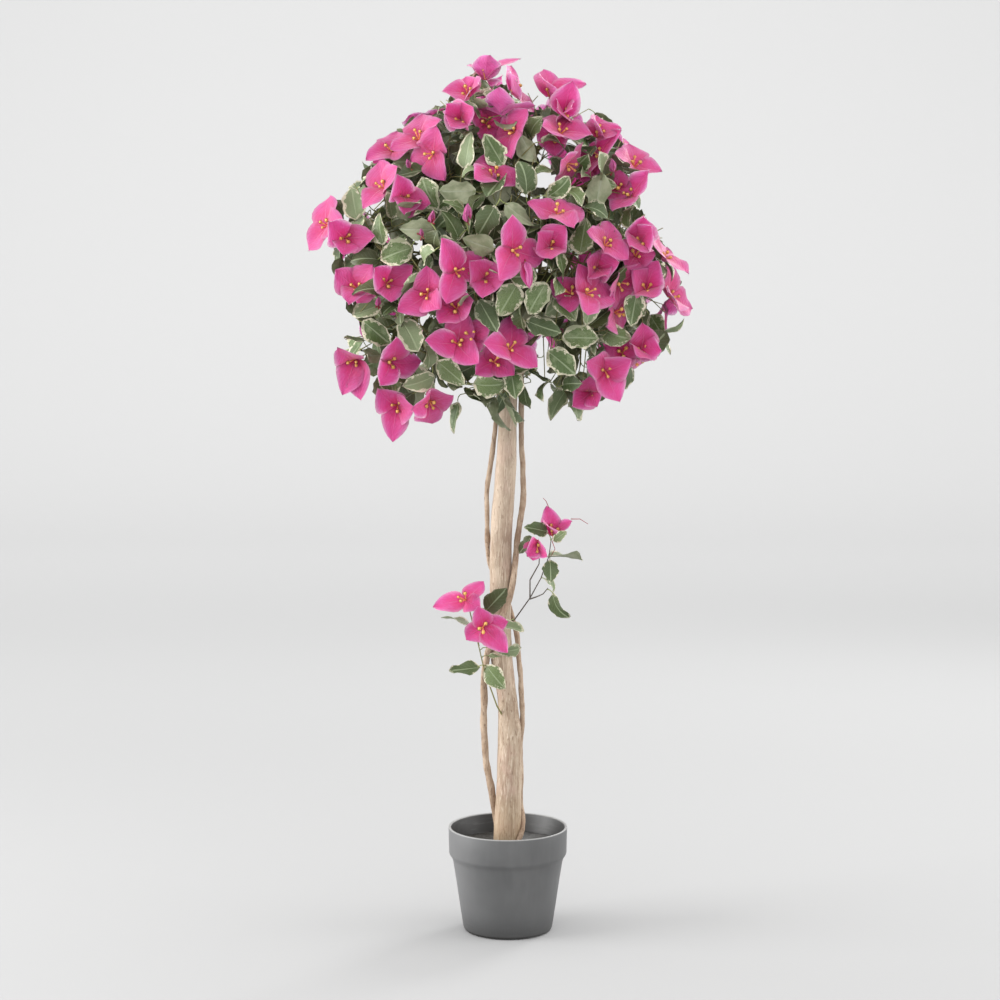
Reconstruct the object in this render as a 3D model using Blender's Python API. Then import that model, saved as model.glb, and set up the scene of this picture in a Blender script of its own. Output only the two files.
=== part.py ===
"""A bougainvillea trained as a standard, in its pot: a pale wooden trunk with two vines
wound round it, boughs that fan out from its head, and one solid of twigs, leaves and
blossoms on each. Metres, +Z up, origin at the centre of the pot's flat underside, with
the face that shows the most blossom towards -Y."""

import math
import random

import bmesh
import bpy
import numpy as np
from mathutils import Matrix, Vector
from mathutils.bvhtree import BVHTree

UP = Vector((0, 0, 1))
GAP = 0.0003  # between two solids that touch
FOOT = 0.003  # straight stretch at the foot of a limb or stem

# Pot: a tapered body under a wider collar
POT_SEGMENTS = 28
POT_HEIGHT = 0.133
RIM_RADIUS = 0.075
COLLAR_FOOT_RADIUS = 0.0742
COLLAR_HEIGHT = 0.034
CHAMFER = 0.0055
BODY_RADIUS = 0.0693
BASE_RADIUS = 0.056
BASE_ROUNDING = 0.0045
WALL = 0.003
FLOOR = 0.004
FILL_TOP = 0.1095

# Trunk: height, sideways place and radius of its axis, from the flat cut to the tip
TRUNK = (
    (0.110, -0.0023, 0.0165),
    (0.137, -0.0006, 0.0168),
    (0.210, 0.0029, 0.0154),
    (0.259, 0.0022, 0.0140),
    (0.300, -0.0012, 0.0118),
    (0.350, -0.0084, 0.0136),
    (0.400, -0.0098, 0.0138),
    (0.500, -0.0086, 0.0136),
    (0.600, -0.0017, 0.0127),
    (0.656, 0.0001, 0.0112),
    (0.800, 0.0060, 0.0088),
    (0.905, 0.0080, 0.0052),
)
TRUNK_STEP = 0.046
TRUNK_SIDES = 10

# Vines: height, bearing round the trunk in degrees (0 faces -Y, 90 faces +X) and bow away from it
VINES = {
    "vine_1": (
        (0.0045, 0.0032),
        (
            (0.110, 200, 0.0000),
            (0.150, 230, 0.0000),
            (0.175, 258, 0.0010),
            (0.215, 270, 0.0110),
            (0.265, 270, 0.0145),
            (0.313, 271, 0.0115),
            (0.352, 290, 0.0010),
            (0.430, 405, 0.0000),
            (0.485, 448, 0.0015),
            (0.550, 450, 0.0080),
            (0.612, 450, 0.0025),
            (0.745, 440, 0.0000),
        ),
    ),
    "vine_2": (
        (0.0033, 0.0029),
        (
            (0.110, 34, 0.0000),
            (0.155, 128, 0.0000),
            (0.240, 134, 0.0000),
            (0.285, 97, 0.0022),
            (0.330, 90, 0.0052),
            (0.375, 94, 0.0045),
            (0.402, 120, 0.0000),
            (0.485, 262, 0.0000),
            (0.510, 270, 0.0010),
            (0.560, 270, 0.0062),
            (0.612, 268, 0.0020),
            (0.660, 252, 0.0000),
            (0.745, 246, 0.0000),
        ),
    ),
}
VINE_STEP = 0.015
VINE_SIDES = 5
VINE_SEAT = 0.0006  # leaves GAP where a vine bends round the trunk in straight runs
EASING = 0.010  # half the stretch over which a trunk or vine rounds the corners of its rows

# Crown
CROWN = Vector((-0.010, 0, 0.864))
CLEARANCE = 0.0006  # between foliage and limbs, and on each side of the wall between two masses
BOUGH_SIDES = 5
BOUGH_RADII = (0.0024, 0.0017)
BOUGH_SHARE = 0.40  # of the reach, where a bough ends and its foliage begins
BOUGH_RISE = 0.75  # height that a bough gains, as a share of its way out
BOUGH_FEET = (0.700, 0.885)  # lowest and highest foot on the trunk

# Foliage: name, bearing and elevation from the crown's centre in degrees, reach, blossoms and leaves
MASSES = (
    ("summit", 90, 87, 0.225, 4, 8),
    ("top", -14, 57, 0.232, 5, 9),
    ("top_right", 42, 54, 0.226, 4, 9),
    ("upper_right", 43, 24, 0.222, 5, 10),
    ("upper_left", -35, 34, 0.206, 4, 9),
    ("upper_middle", 4, 31, 0.214, 3, 11),
    ("left", -35, 10, 0.222, 4, 10),
    ("far_left", -68, 4, 0.246, 4, 9),
    ("lower_left", -40, -14, 0.232, 4, 9),
    ("middle", -6, -4, 0.230, 4, 10),
    ("right_of_middle", 17, 10, 0.220, 3, 9),
    ("right", 33, -11, 0.230, 5, 9),
    ("far_right", 66, -4, 0.246, 5, 9),
    ("lower_middle", -7, -30, 0.232, 3, 11),
    ("drooping_left", -60, -46, 0.266, 5, 9),
    ("drooping_right", 54, -43, 0.256, 4, 9),
    ("underside", 2, -60, 0.236, 0, 8),
    ("side_right", 104, 22, 0.218, 4, 9),
    ("side_right_low", 104, -24, 0.244, 4, 9),
    ("side_left", -101, 30, 0.204, 4, 9),
    ("side_left_low", -108, -14, 0.222, 4, 9),
    ("back_top", 172, 53, 0.228, 5, 10),
    ("back_right", 143, 14, 0.230, 5, 10),
    ("back_left", -146, 16, 0.226, 5, 10),
    ("back_right_low", 150, -28, 0.232, 4, 10),
    ("back_left_low", -152, -30, 0.232, 4, 10),
)
TRUNK_BORNE = ("summit", "underside")  # stand on the trunk itself, with no bough
LEAFY_TWIGS = 2
SPREAD = math.radians(21)  # half the angle that a mass's tips spread over, seen from the crown's centre
TIP_DEPTH = {"blossom": 0.016, "leaf": 0.036}  # of a twig's tip inside the mass's reach
TIP_SCATTER = 0.020
TARGET_TRIES = 24
TRIES = 8
STEM_RADII = (0.0020, 0.0016)
TWIG_RADII = (0.0009, 0.0007)
LEAF_LENGTHS = (0.043, 0.057)
LEAF_HALF_WIDTH = 0.31  # a share of its length
LEAF_ROOT = 0.0004
BRACT_LENGTHS = (0.039, 0.046)
BRACT_HALF_WIDTH = 0.42  # a share of its length
BRACT_ROOT = 0.0014  # thickness where the three bracts meet
OPENINGS = (14, 20, 26, 42)  # lean of the bracts from the open plane, in degrees

# Shoots low on the trunk: height and bearing of the foot, head of the stem, then tips from the
# lowest twig to the highest, each as kind, place, facing and length
SHOOTS = {
    "shoot_left": (
        (0.271, -45),
        (-0.0385, -0.0300, 0.3768),
        (
            ("leaf", (-0.0140, -0.0310, 0.3330), (0.3, -1, 0.5), 0.042),
            ("leaf", (-0.0600, -0.0330, 0.3480), (-0.2, -0.6, 0.8), 0.042),
            ("leaf", (0.0080, -0.0290, 0.3650), (0.1, -0.3, 1), 0.036),
            ("leaf", (-0.0700, -0.0200, 0.4010), (-0.3, -0.3, 1), 0.038),
            ("blossom", (-0.0297, -0.0460, 0.3936), (0.1, -1, 0.15), 0.042),
            ("leaf", (0.0090, -0.0280, 0.3960), (0.1, -0.4, 1), 0.036),
            ("blossom", (-0.0520, -0.0370, 0.4266), (-0.25, -1, 0.55), 0.043),
            ("leaf", (-0.0170, -0.0320, 0.4310), (0.1, -1, 0.2), 0.036),
        ),
    ),
    "shoot_right": (
        (0.398, 75),
        (0.0400, -0.0100, 0.4480),
        (
            ("leaf", (0.0720, -0.0150, 0.4020), (0.5, -0.8, 0.2), 0.042),
            ("leaf", (0.0600, -0.0220, 0.4560), (0.1, -1, 0.2), 0.036),
            ("leaf", (0.0880, -0.0100, 0.4760), (0.1, -0.1, 1), 0.040),
            ("blossom", (0.0430, -0.0200, 0.4860), (-0.5, -1, 0.1), 0.034),
            ("leaf", (0.0230, -0.0240, 0.4940), (-0.4, -1, 0.2), 0.032),
            ("leaf", (0.0700, -0.0200, 0.5020), (0.2, -1, 0.3), 0.032),
            ("blossom", (0.0560, 0.0000, 0.5250), (0.55, 0.35, 0.75), 0.043),
            ("leaf", (0.0340, -0.0220, 0.5160), (-0.2, -0.9, 0.5), 0.032),
        ),
    ),
}

POT_GREY = (0.155, 0.158, 0.162)
CEMENT_GREY = (0.260, 0.260, 0.255)
WOOD = (0.520, 0.390, 0.270)
STEM_GREEN = (0.170, 0.180, 0.075)
FOLIAGE = (0.110, 0.170, 0.075)


def material(name, colour, roughness):
    made = bpy.data.materials.new(name)
    made.use_nodes = True
    principled = made.node_tree.nodes["Principled BSDF"]
    principled.inputs["Base Color"].default_value = (*colour, 1)
    principled.inputs["Roughness"].default_value = roughness
    principled.inputs["Metallic"].default_value = 0
    return made


def solid(name, shape, colour, roughness):
    """An object of a shape, which is its points and its faces."""
    mesh = bpy.data.meshes.new(name)
    mesh.from_pydata([tuple(point) for point in shape[0]], [], shape[1])
    made = bpy.data.objects.new(name, mesh)
    made.data.materials.append(material(name, colour, roughness))
    bpy.context.collection.objects.link(made)
    return made


def turned(name, profile, colour, roughness):
    """A solid turned about Z from a profile of (radius, height), which runs down its outer side."""
    points = [Vector((radius, 0, height)) for radius, height in profile]
    made = solid(name, (points, []), colour, roughness)
    made.data.from_pydata([], [(i, i + 1) for i in range(len(points) - 1)], [])
    screw = made.modifiers.new("turn", "SCREW")
    screw.steps = screw.render_steps = POT_SEGMENTS
    screw.use_merge_vertices = True
    screw.merge_threshold = 0.00001
    return made


def inner_radius(height):
    """The pot's inside radius: its body's outer taper, less the wall."""
    share = (height - FLOOR) / (POT_HEIGHT - FLOOR)
    return BASE_RADIUS - WALL + share * (RIM_RADIUS - BASE_RADIUS - 0.0005)


def make_pot():
    collar_foot = POT_HEIGHT - COLLAR_HEIGHT
    corner = [
        (
            BASE_RADIUS - BASE_ROUNDING * (1 - math.sin(turn)),
            BASE_ROUNDING * (1 - math.cos(turn)),
        )
        for turn in (math.pi / 2, math.pi / 4, 0)
    ]
    turned(
        "pot",
        [
            (0, FLOOR),
            (inner_radius(FLOOR), FLOOR),
            (inner_radius(POT_HEIGHT), POT_HEIGHT - 0.001),
            (RIM_RADIUS - WALL + 0.0012, POT_HEIGHT),
            (RIM_RADIUS - 0.001, POT_HEIGHT),
            (RIM_RADIUS, POT_HEIGHT - 0.001),
            (COLLAR_FOOT_RADIUS, collar_foot),
            (BODY_RADIUS, collar_foot - CHAMFER),
            *corner,
            (0, 0),
        ],
        POT_GREY,
        0.55,
    )


def make_fill():
    bottom = FLOOR + GAP
    turned(
        "pot_fill",
        [
            (0, FILL_TOP),
            (inner_radius(FILL_TOP) - GAP, FILL_TOP),
            (inner_radius(bottom) - GAP, bottom),
            (0, bottom),
        ],
        CEMENT_GREY,
        0.9,
    )


def eased(rows, height):
    """The values of rows at a height, read along straight runs with their corners rounded."""
    heights = [row[0] for row in rows]
    near = height + np.linspace(-EASING, EASING, 7)
    return [float(np.interp(near, heights, column).mean()) for column in list(zip(*rows))[1:]]


def stations(rows, step):
    """Heights from the first row to the last, about a step apart."""
    count = round((rows[-1][0] - rows[0][0]) / step) + 1
    return np.linspace(rows[0][0], rows[-1][0], count).tolist()


def tube(path, radii, sides):
    """The shape of a closed tube along a path, whose radius goes evenly from the first to the last."""
    points, faces = [], []
    across = Vector((path[1] - path[0]).orthogonal())
    for index, place in enumerate(path):
        ahead = path[min(index + 1, len(path) - 1)] - path[max(index - 1, 0)]
        across = (across - across.project(ahead)).normalized()
        beside = ahead.normalized().cross(across)
        radius = float(np.interp(index / (len(path) - 1), np.linspace(0, 1, len(radii)), radii))
        for side in range(sides):
            turn = 2 * math.pi * side / sides
            points.append(place + radius * (math.cos(turn) * across + math.sin(turn) * beside))
    for first in range(0, len(points) - sides, sides):
        for side in range(sides):
            after = (side + 1) % sides
            corners = (first + side, first + after, first + sides + after, first + sides + side)
            faces.append(corners)
    faces.append(tuple(reversed(range(sides))))
    faces.append(tuple(range(len(points) - sides, len(points))))
    return points, faces


def trunk_axis(height):
    sideways, radius = eased(TRUNK, height)
    return Vector((sideways, 0, height)), radius


def trunk_limb():
    """The trunk's path and radii, with a short upright foot so that its cut is level."""
    axis = [trunk_axis(height) for height in stations(TRUNK, TRUNK_STEP)]
    foot = Vector((axis[0][0].x, 0, FILL_TOP + GAP))
    axis[0] = (foot + FOOT * UP, axis[0][1])
    return [foot, *(place for place, _ in axis)], [axis[0][1], *(radius for _, radius in axis)]


def vine_limb(radii, rows):
    """A vine's path round the trunk and its radii, with a short upright foot."""
    path = []
    heights = stations(rows, VINE_STEP)
    thickness = np.linspace(*radii, len(heights)).tolist()
    for height, own in zip(heights, thickness):
        bearing, bow = eased(rows, height)
        axis, radius = trunk_axis(height)
        path.append(axis + (radius + own + VINE_SEAT + bow) * outward(bearing, 0))
    foot = Vector((path[0].x, path[0].y, FILL_TOP + GAP))
    path[0] = foot + FOOT * UP
    return [foot, *path], [radii[0], *thickness]


def outward(bearing, elevation):
    """The direction at a bearing (0 towards -Y, 90 towards +X) and an elevation, in degrees."""
    turn, lift = math.radians(bearing), math.radians(elevation)
    return Vector((math.sin(turn) * math.cos(lift), -math.cos(turn) * math.cos(lift), math.sin(lift)))


def bend(start, middle, end, count):
    """Points along a curve that leaves start towards middle and comes into end from it."""
    shares = np.linspace(0, 1, count).tolist()
    return [(1 - t) ** 2 * start + 2 * t * (1 - t) * middle + t * t * end for t in shares]


def squared(foot, towards, end, pull):
    """A curve to end whose first stretch is straight, so that its cut face lies square to towards."""
    start = foot + FOOT * towards
    return [foot, *bend(start, start + pull * towards, end, 3)]


def trunk_side(trunk, height, bearing):
    """Where a limb meets the trunk's side at a bearing, and which way is square to it."""
    out = outward(bearing, 0)
    place, square, _, _ = trunk.ray_cast(trunk_axis(height)[0] + 2 * TRUNK[0][2] * out, -out)
    return place + GAP * square, square


def bough_limb(trunk, bearing, elevation, reach):
    """A bough's path from the trunk's side to where its foliage begins, and its radii."""
    tip = CROWN + BOUGH_SHARE * reach * outward(bearing, elevation)
    way_out = math.hypot(tip.x - CROWN.x, tip.y)
    height = float(np.clip(tip.z - BOUGH_RISE * way_out, *BOUGH_FEET))
    foot, towards = trunk_side(trunk, height, bearing)
    return squared(foot, towards, tip, 0.45 * way_out), BOUGH_RADII


def leaf_blade(length):
    """The shape of a leaf of eight faces along +X: a three-sided root, a flat top and a keeled underside."""
    root = LEAF_ROOT
    middle, half_width, rise = 0.45 * length, LEAF_HALF_WIDTH * length, 0.008 * length
    points = [
        Vector((0, 0, root)),
        Vector((0, -0.87 * root, -0.5 * root)),
        Vector((0, 0.87 * root, -0.5 * root)),
        Vector((middle, -half_width, rise)),
        Vector((middle, half_width, rise)),
        Vector((length, 0, -0.08 * length)),
    ]
    upper = [(0, 3, 4), (3, 5, 4)]
    sides = [(0, 2, 1), (0, 1, 3), (0, 4, 2)]
    lower = [(1, 5, 3), (2, 4, 5), (1, 2, 5)]
    return points, upper + sides + lower


def blossom_star(length, opening):
    """The shape of a blossom facing +Z: three broad bracts that lean from the open plane by opening."""
    lean = math.radians(opening)
    points = [Vector((0, 0, BRACT_ROOT))]
    for turn in (0, 120, 240):
        notch = 0.10 * length * outward(turn - 60, 0)
        along = math.cos(lean) * outward(turn, 0) + math.sin(lean) * UP
        across = BRACT_HALF_WIDTH * length * outward(turn + 90, 0)
        points += [notch, 0.5 * length * along - across, length * along, 0.5 * length * along + across]
    upper = [(0, corner, corner % 12 + 1) for corner in range(1, 13)]
    lower = [(9, 5, 1)]
    for first in (1, 5, 9):
        lower += [
            (first + 2, first + 1, first + 3),
            (first + 3, first + 1, first),
            (first + 3, first, (first + 3) % 12 + 1),
        ]
    return points, upper + lower


def frame(root, toward, facing):
    """A place at root, its X along toward and its Z as near facing as that allows."""
    x = toward.normalized()
    z = (facing - facing.project(x)).normalized()
    return Matrix.Translation(root) @ Matrix((x, z.cross(x), z)).transposed().to_4x4()


def placed(place, shape):
    return [place @ point for point in shape[0]], shape[1]


def joined(shapes):
    points, faces = [], []
    for more_points, more_faces in shapes:
        faces += [tuple(corner + len(points) for corner in face) for face in more_faces]
        points += more_points
    return points, faces


class Space:
    """The room of one mass: its cell of the crown, clear of the limbs and of its own blades."""

    def __init__(self, walls, limbs):
        self.walls = walls
        self.limbs = limbs
        self.taken = []

    def holds(self, shape):
        tree = BVHTree.FromPolygons(*shape)
        inside = all(side.dot(point) < far for side, far in self.walls for point in shape[0])
        return inside and not self.limbs.overlap(tree)

    def take(self, shape):
        """Keeps the room of a shape if it is free, and says whether it was."""
        tree = BVHTree.FromPolygons(*shape)
        if any(other.overlap(tree) for other in self.taken) or not self.holds(shape):
            return False
        self.taken.append(tree)
        return True


def cell_walls(own, directions):
    """Planes through the crown's centre, half-way from a mass's own direction to each other one."""
    sides = [(other - own).normalized() for other in directions if other is not own]
    return [(side, side.dot(CROWN) - CLEARANCE) for side in sides]


def hang_leaf(space, shapes, dice, root, along, out):
    """A leaf that springs sideways from a twig, if one of a few turns has room."""
    length = dice.uniform(*LEAF_LENGTHS)
    turn = dice.uniform(0, 360)
    for _ in range(TRIES):
        side = Matrix.Rotation(math.radians(turn), 3, along) @ along.orthogonal().normalized()
        facing = out + 0.4 * UP + 0.8 * Vector([dice.uniform(-1, 1) for _ in range(3)])
        toward = 0.5 * along + side
        toward -= 0.75 * toward.project(facing)
        made = placed(frame(root, toward, facing), leaf_blade(length))
        if space.take(made):
            shapes.append(made)
            return
        turn += 137


def grow_twig(space, shapes, dice, start, target, out, kind):
    """The two ends of a side twig to a target, with a blossom or a leaf on its tip, if it has room."""
    path = [start, target]
    if not space.holds(tube(path, TWIG_RADII, 3)):
        return None
    if kind == "blossom":
        facing = out + 0.3 * Vector([dice.uniform(-1, 1) for _ in range(3)])
        roll = Matrix.Rotation(math.radians(dice.uniform(0, 120)), 4, "Z")
        tip = placed(
            frame(target, facing.orthogonal(), facing) @ roll,
            blossom_star(dice.uniform(*BRACT_LENGTHS), dice.choice(OPENINGS)),
        )
        path[1] = target + 0.4 * BRACT_ROOT * facing.normalized()
    else:
        away = target - start
        toward = away + 0.5 * away.length * Vector([dice.uniform(-1, 1) for _ in range(3)])
        tip = placed(frame(target, toward, out + 0.4 * UP), leaf_blade(dice.uniform(*LEAF_LENGTHS)))
        path[1] = target + LEAF_ROOT * toward.normalized()
    if not space.take(tip):
        return None
    shapes += [tip, tube(path, TWIG_RADII, 3)]
    return path


def grow_mass(number, start, towards, centre_out, reach, space, flowers, leaves):
    """The shapes of one mass, its stem first: stem, side twigs with their tips, then leaves along them."""
    dice = random.Random(number)
    end = CROWN + (reach - TIP_DEPTH["leaf"]) * centre_out
    stem = squared(start, towards, end, 0.45 * (end - start).length)
    shapes = []
    paths = []
    twigs = flowers + LEAFY_TWIGS
    for twig in range(twigs):
        kind = "blossom" if twig < flowers else "leaf"
        for attempt in range(TARGET_TRIES):
            angle = SPREAD * math.sqrt((twig + 0.6) / twigs) * (1 - 0.03 * attempt)
            turn = math.radians(137.5 * twig + 40 * number + 67 * attempt)
            sway = Matrix.Rotation(angle, 3, centre_out.orthogonal())
            out = Matrix.Rotation(turn, 3, centre_out) @ (sway @ centre_out)
            target = CROWN + (reach - TIP_DEPTH[kind] - dice.uniform(0, TIP_SCATTER)) * out
            along = (0.92 - 0.62 * (twig + 0.5) / twigs) * (len(stem) - 1)
            fork = stem[int(along)].lerp(stem[int(along) + 1], along % 1)
            path = grow_twig(space, shapes, dice, fork, target, out, kind)
            if path:
                paths.append(path)
                break
    seats = [(near, far, 0.96) for near, far in zip(stem[1:], stem[2:])]
    for share in (0.7, 0.4):
        seats += [(*path, share) for path in paths]
    for near, far, share in seats[:leaves]:
        root = near.lerp(far, share)
        hang_leaf(space, shapes, dice, root, (far - near).normalized(), (root - CROWN).normalized())
    return [tube(stem, STEM_RADII, 3), *shapes]


def largest_body(mesh):
    """Keeps the body that reaches furthest: drops a loose scrap, and fills a hollow that joining sealed."""
    made = bmesh.new()
    made.from_mesh(mesh)
    left = set(made.verts)
    bodies = []
    while left:
        body = set()
        front = [left.pop()]
        while front:
            vertex = front.pop()
            body.add(vertex)
            linked = {edge.other_vert(vertex) for edge in vertex.link_edges} & left
            left -= linked
            front += linked
        bodies.append(body)
    bodies.sort(key=len)
    dropped = [vertex for body in bodies[:-1] for vertex in body]
    bmesh.ops.delete(made, geom=dropped, context="VERTS")
    made.to_mesh(mesh)
    made.free()


def fused(name, shapes):
    """One solid of a mass: its stem, with everything else joined on by one union."""
    made = solid(name, shapes[0], FOLIAGE, 0.6)
    pieces = bpy.data.collections.new(name + "_pieces")
    bpy.context.scene.collection.children.link(pieces)
    for index, (points, faces) in enumerate(shapes[1:]):
        mesh = bpy.data.meshes.new(f"{name}_piece_{index}")
        mesh.from_pydata([tuple(point) for point in points], [], faces)
        pieces.objects.link(bpy.data.objects.new(mesh.name, mesh))
    union = made.modifiers.new("union", "BOOLEAN")
    union.operation = "UNION"
    union.operand_type = "COLLECTION"
    union.collection = pieces
    union.solver = "MANIFOLD"
    bpy.context.view_layer.objects.active = made
    bpy.ops.object.modifier_apply(modifier="union")
    for piece in list(pieces.objects):
        bpy.data.objects.remove(piece)
    bpy.data.collections.remove(pieces)
    largest_body(made.data)
    return made


def grow_shoot(foot, towards, head, tips):
    """The shapes of a shoot low on the trunk: its stem, and a twig to each leaf and blossom."""
    start = foot + FOOT * towards
    stem = [foot, *bend(start, start.lerp(head, 0.5) + FOOT * towards, head, 3)]
    shapes = [tube(stem, TWIG_RADII, 3)]
    for index, (kind, place, facing, length) in enumerate(tips):
        place, facing = Vector(place), Vector(facing).normalized()
        along = (0.4 + 0.6 * (index + 0.5) / len(tips)) * (len(stem) - 1)
        start = stem[int(along)].lerp(stem[int(along) + 1], along % 1)
        if kind == "blossom":
            roll = Matrix.Rotation(math.radians(90 + 37 * index), 4, "Z")
            shapes.append(placed(frame(place, facing.orthogonal(), facing) @ roll, blossom_star(length, 24)))
            root = place + 0.4 * BRACT_ROOT * facing
        else:
            toward = place - start
            toward -= 0.8 * toward.project(facing)
            root = place - 0.5 * length * toward.normalized()
            shapes.append(placed(frame(root, toward, facing), leaf_blade(length)))
            root = root + 0.002 * toward.normalized()
        shapes.append(tube(bend(start, start.lerp(root, 0.5) + 0.003 * UP, root, 3), TWIG_RADII, 3))
    return shapes


def main():
    for stale in list(bpy.data.objects):
        bpy.data.objects.remove(stale)
    make_pot()
    make_fill()
    limbs = {"trunk": (*trunk_limb(), TRUNK_SIDES)}
    for name, (radii, rows) in VINES.items():
        limbs[name] = (*vine_limb(radii, rows), VINE_SIDES)
    trunk = BVHTree.FromPolygons(*tube(*limbs["trunk"]))
    for name, bearing, elevation, reach, *_ in MASSES:
        if name not in TRUNK_BORNE:
            limbs["bough_" + name] = (*bough_limb(trunk, bearing, elevation, reach), BOUGH_SIDES)
    for name, (path, radii, sides) in limbs.items():
        wood = name in ("trunk", *VINES)
        made = solid(name, tube(path, radii, sides), WOOD if wood else STEM_GREEN, 0.7)
        made.data.shade_smooth()
        made.data.set_sharp_from_angle(angle=math.radians(50))
    fat = [
        tube(path, [radius + CLEARANCE for radius in radii], sides)
        for path, radii, sides in limbs.values()
    ]
    limb_tree = BVHTree.FromPolygons(*joined(fat))
    directions = [outward(bearing, elevation) for _, bearing, elevation, *_ in MASSES]
    for number, (name, bearing, _, reach, flowers, leaves) in enumerate(MASSES):
        if name == "underside":
            start, towards = trunk_side(trunk, BOUGH_FEET[0], bearing)
        else:
            path = limbs["trunk" if name in TRUNK_BORNE else "bough_" + name][0]
            towards = (path[-1] - path[-2]).normalized()
            start = path[-1] + GAP * towards
        space = Space(cell_walls(directions[number], directions), limb_tree)
        shapes = grow_mass(number, start, towards, directions[number], reach, space, flowers, leaves)
        fused("foliage_" + name, shapes)
    for name, (foot, head, tips) in SHOOTS.items():
        fused(name, grow_shoot(*trunk_side(trunk, *foot), Vector(head), tips))


main()
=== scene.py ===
"""A bougainvillea trained as a standard in its pot: the finish of every piece, on the frame
of its solids. Metres, +Z up, the face that shows the most blossom towards -Y."""

import math
import random

import bpy
import numpy as np
from mathutils import Matrix, Vector, noise
from mathutils.bvhtree import BVHTree


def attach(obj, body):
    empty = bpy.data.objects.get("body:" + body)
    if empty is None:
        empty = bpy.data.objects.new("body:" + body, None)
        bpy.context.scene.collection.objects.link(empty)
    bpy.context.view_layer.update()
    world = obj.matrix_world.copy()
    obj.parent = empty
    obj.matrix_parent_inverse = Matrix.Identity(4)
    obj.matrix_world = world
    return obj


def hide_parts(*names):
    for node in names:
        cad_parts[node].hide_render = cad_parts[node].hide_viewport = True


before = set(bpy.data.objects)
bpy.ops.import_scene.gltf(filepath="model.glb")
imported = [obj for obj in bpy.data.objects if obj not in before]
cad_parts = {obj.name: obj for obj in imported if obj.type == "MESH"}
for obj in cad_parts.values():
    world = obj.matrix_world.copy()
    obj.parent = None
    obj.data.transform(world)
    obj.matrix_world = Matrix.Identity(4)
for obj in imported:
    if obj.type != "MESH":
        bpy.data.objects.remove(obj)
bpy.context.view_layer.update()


# ---------------------------------------------------------------------------------------------
# Pot. A plain tapered plastic pot under a wider collar, moulded in one and left matt: it is
# turned from one ring, carried down the outside, under the foot and up again inside.

POT_SIDES = 96
POT_HEIGHT = 0.133
RIM_RADIUS = 0.075
BASE_RADIUS = 0.056
WALL = 0.003
FLOOR = 0.004


class Signal:
    """A number that runs through a finish's nodes. Arithmetic on it adds Math nodes."""

    def __init__(self, finish, socket):
        self.finish = finish
        self.socket = socket

    def worked(self, operation, *values):
        sockets = dict(enumerate(values))
        return self.finish.node("ShaderNodeMath", {"operation": operation}, sockets)

    def __add__(self, other):
        return self.worked("ADD", self, other)

    def __sub__(self, other):
        return self.worked("SUBTRACT", self, other)

    def __rsub__(self, other):
        return self.worked("SUBTRACT", other, self)

    def __mul__(self, other):
        return self.worked("MULTIPLY", self, other)

    def __gt__(self, other):
        return self.worked("GREATER_THAN", self, other)

    def __abs__(self):
        return self.worked("ABSOLUTE", self)

    def part(self, name):
        """Another output of the same node."""
        return Signal(self.finish, self.socket.node.outputs[name])


class Finish:
    """A material in the making, around its one Principled shader."""

    def __init__(self, name, **constants):
        self.material = bpy.data.materials.new(name)
        self.material.use_nodes = True
        self.tree = self.material.node_tree
        self.shader = self.tree.nodes["Principled BSDF"]
        for socket, value in constants.items():
            self.shader.inputs[socket.replace("_", " ")].default_value = value

    def plug(self, target, value):
        if isinstance(value, Signal):
            self.tree.links.new(value.socket, target)
        elif hasattr(target.default_value, "__len__") and len(value) < len(target.default_value):
            target.default_value = (*value, 1)
        else:
            target.default_value = value

    def node(self, kind, settings=(), sockets=(), output=0):
        made = self.tree.nodes.new(kind)
        for name, value in dict(settings).items():
            setattr(made, name, value)
        for name, value in dict(sockets).items():
            self.plug(made.inputs[name], value)
        return Signal(self, made.outputs[output])

    def vector(self, operation, where, more=(), output=0):
        sockets = {0: where, **dict(more)}
        return self.node("ShaderNodeVectorMath", {"operation": operation}, sockets, output)

    def axis(self, where, letter):
        return self.node("ShaderNodeSeparateXYZ", sockets={0: where}, output=letter)

    def places(self, *stretch):
        """Object coordinates, each multiplied by its own stretch."""
        where = self.node("ShaderNodeTexCoord", output="Object")
        return self.vector("MULTIPLY", where, {1: stretch})

    def chart(self):
        """The piece's own map."""
        return self.node("ShaderNodeUVMap", {"uv_map": "OFBake"})

    def cloud(self, where, scale, detail=3, roughness=0.55, distortion=0):
        values = (where, scale, detail, roughness, distortion)
        sockets = dict(zip(("Vector", "Scale", "Detail", "Roughness", "Distortion"), values))
        return self.node("ShaderNodeTexNoise", sockets=sockets)

    def rise(self, value, low, high, bottom=0, top=1):
        """Goes smoothly from bottom to top as a value goes from low to high."""
        values = (value, low, high, bottom, top)
        sockets = dict(zip(("Value", "From Min", "From Max", "To Min", "To Max"), values))
        return self.node("ShaderNodeMapRange", {"interpolation_type": "SMOOTHSTEP"}, sockets)

    def blend(self, share, first, second):
        settings = {"data_type": "RGBA"}
        return self.node("ShaderNodeMix", settings, {0: share, 6: first, 7: second}, output=2)

    def layered(self, colour, *layers):
        """Lays tones over a colour: each by its share, or as a value goes from low to high, then
        up to its share or in full."""
        for tone, value, *span in layers:
            share = self.rise(value, *span[:2], 0, *span[2:]) if span else value
            colour = self.blend(share, colour, tone)
        return colour

    def coat(self, **sockets):
        """Feeds the shader's sockets."""
        for name, value in sockets.items():
            self.plug(self.shader.inputs[name.replace("_", " ")], value)

    def bump(self, height, distance, strength=1):
        sockets = {"Height": height, "Distance": distance, "Strength": strength}
        self.coat(Normal=self.node("ShaderNodeBump", sockets=sockets))


def deselect():
    bpy.ops.object.select_all(action="DESELECT")


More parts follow.
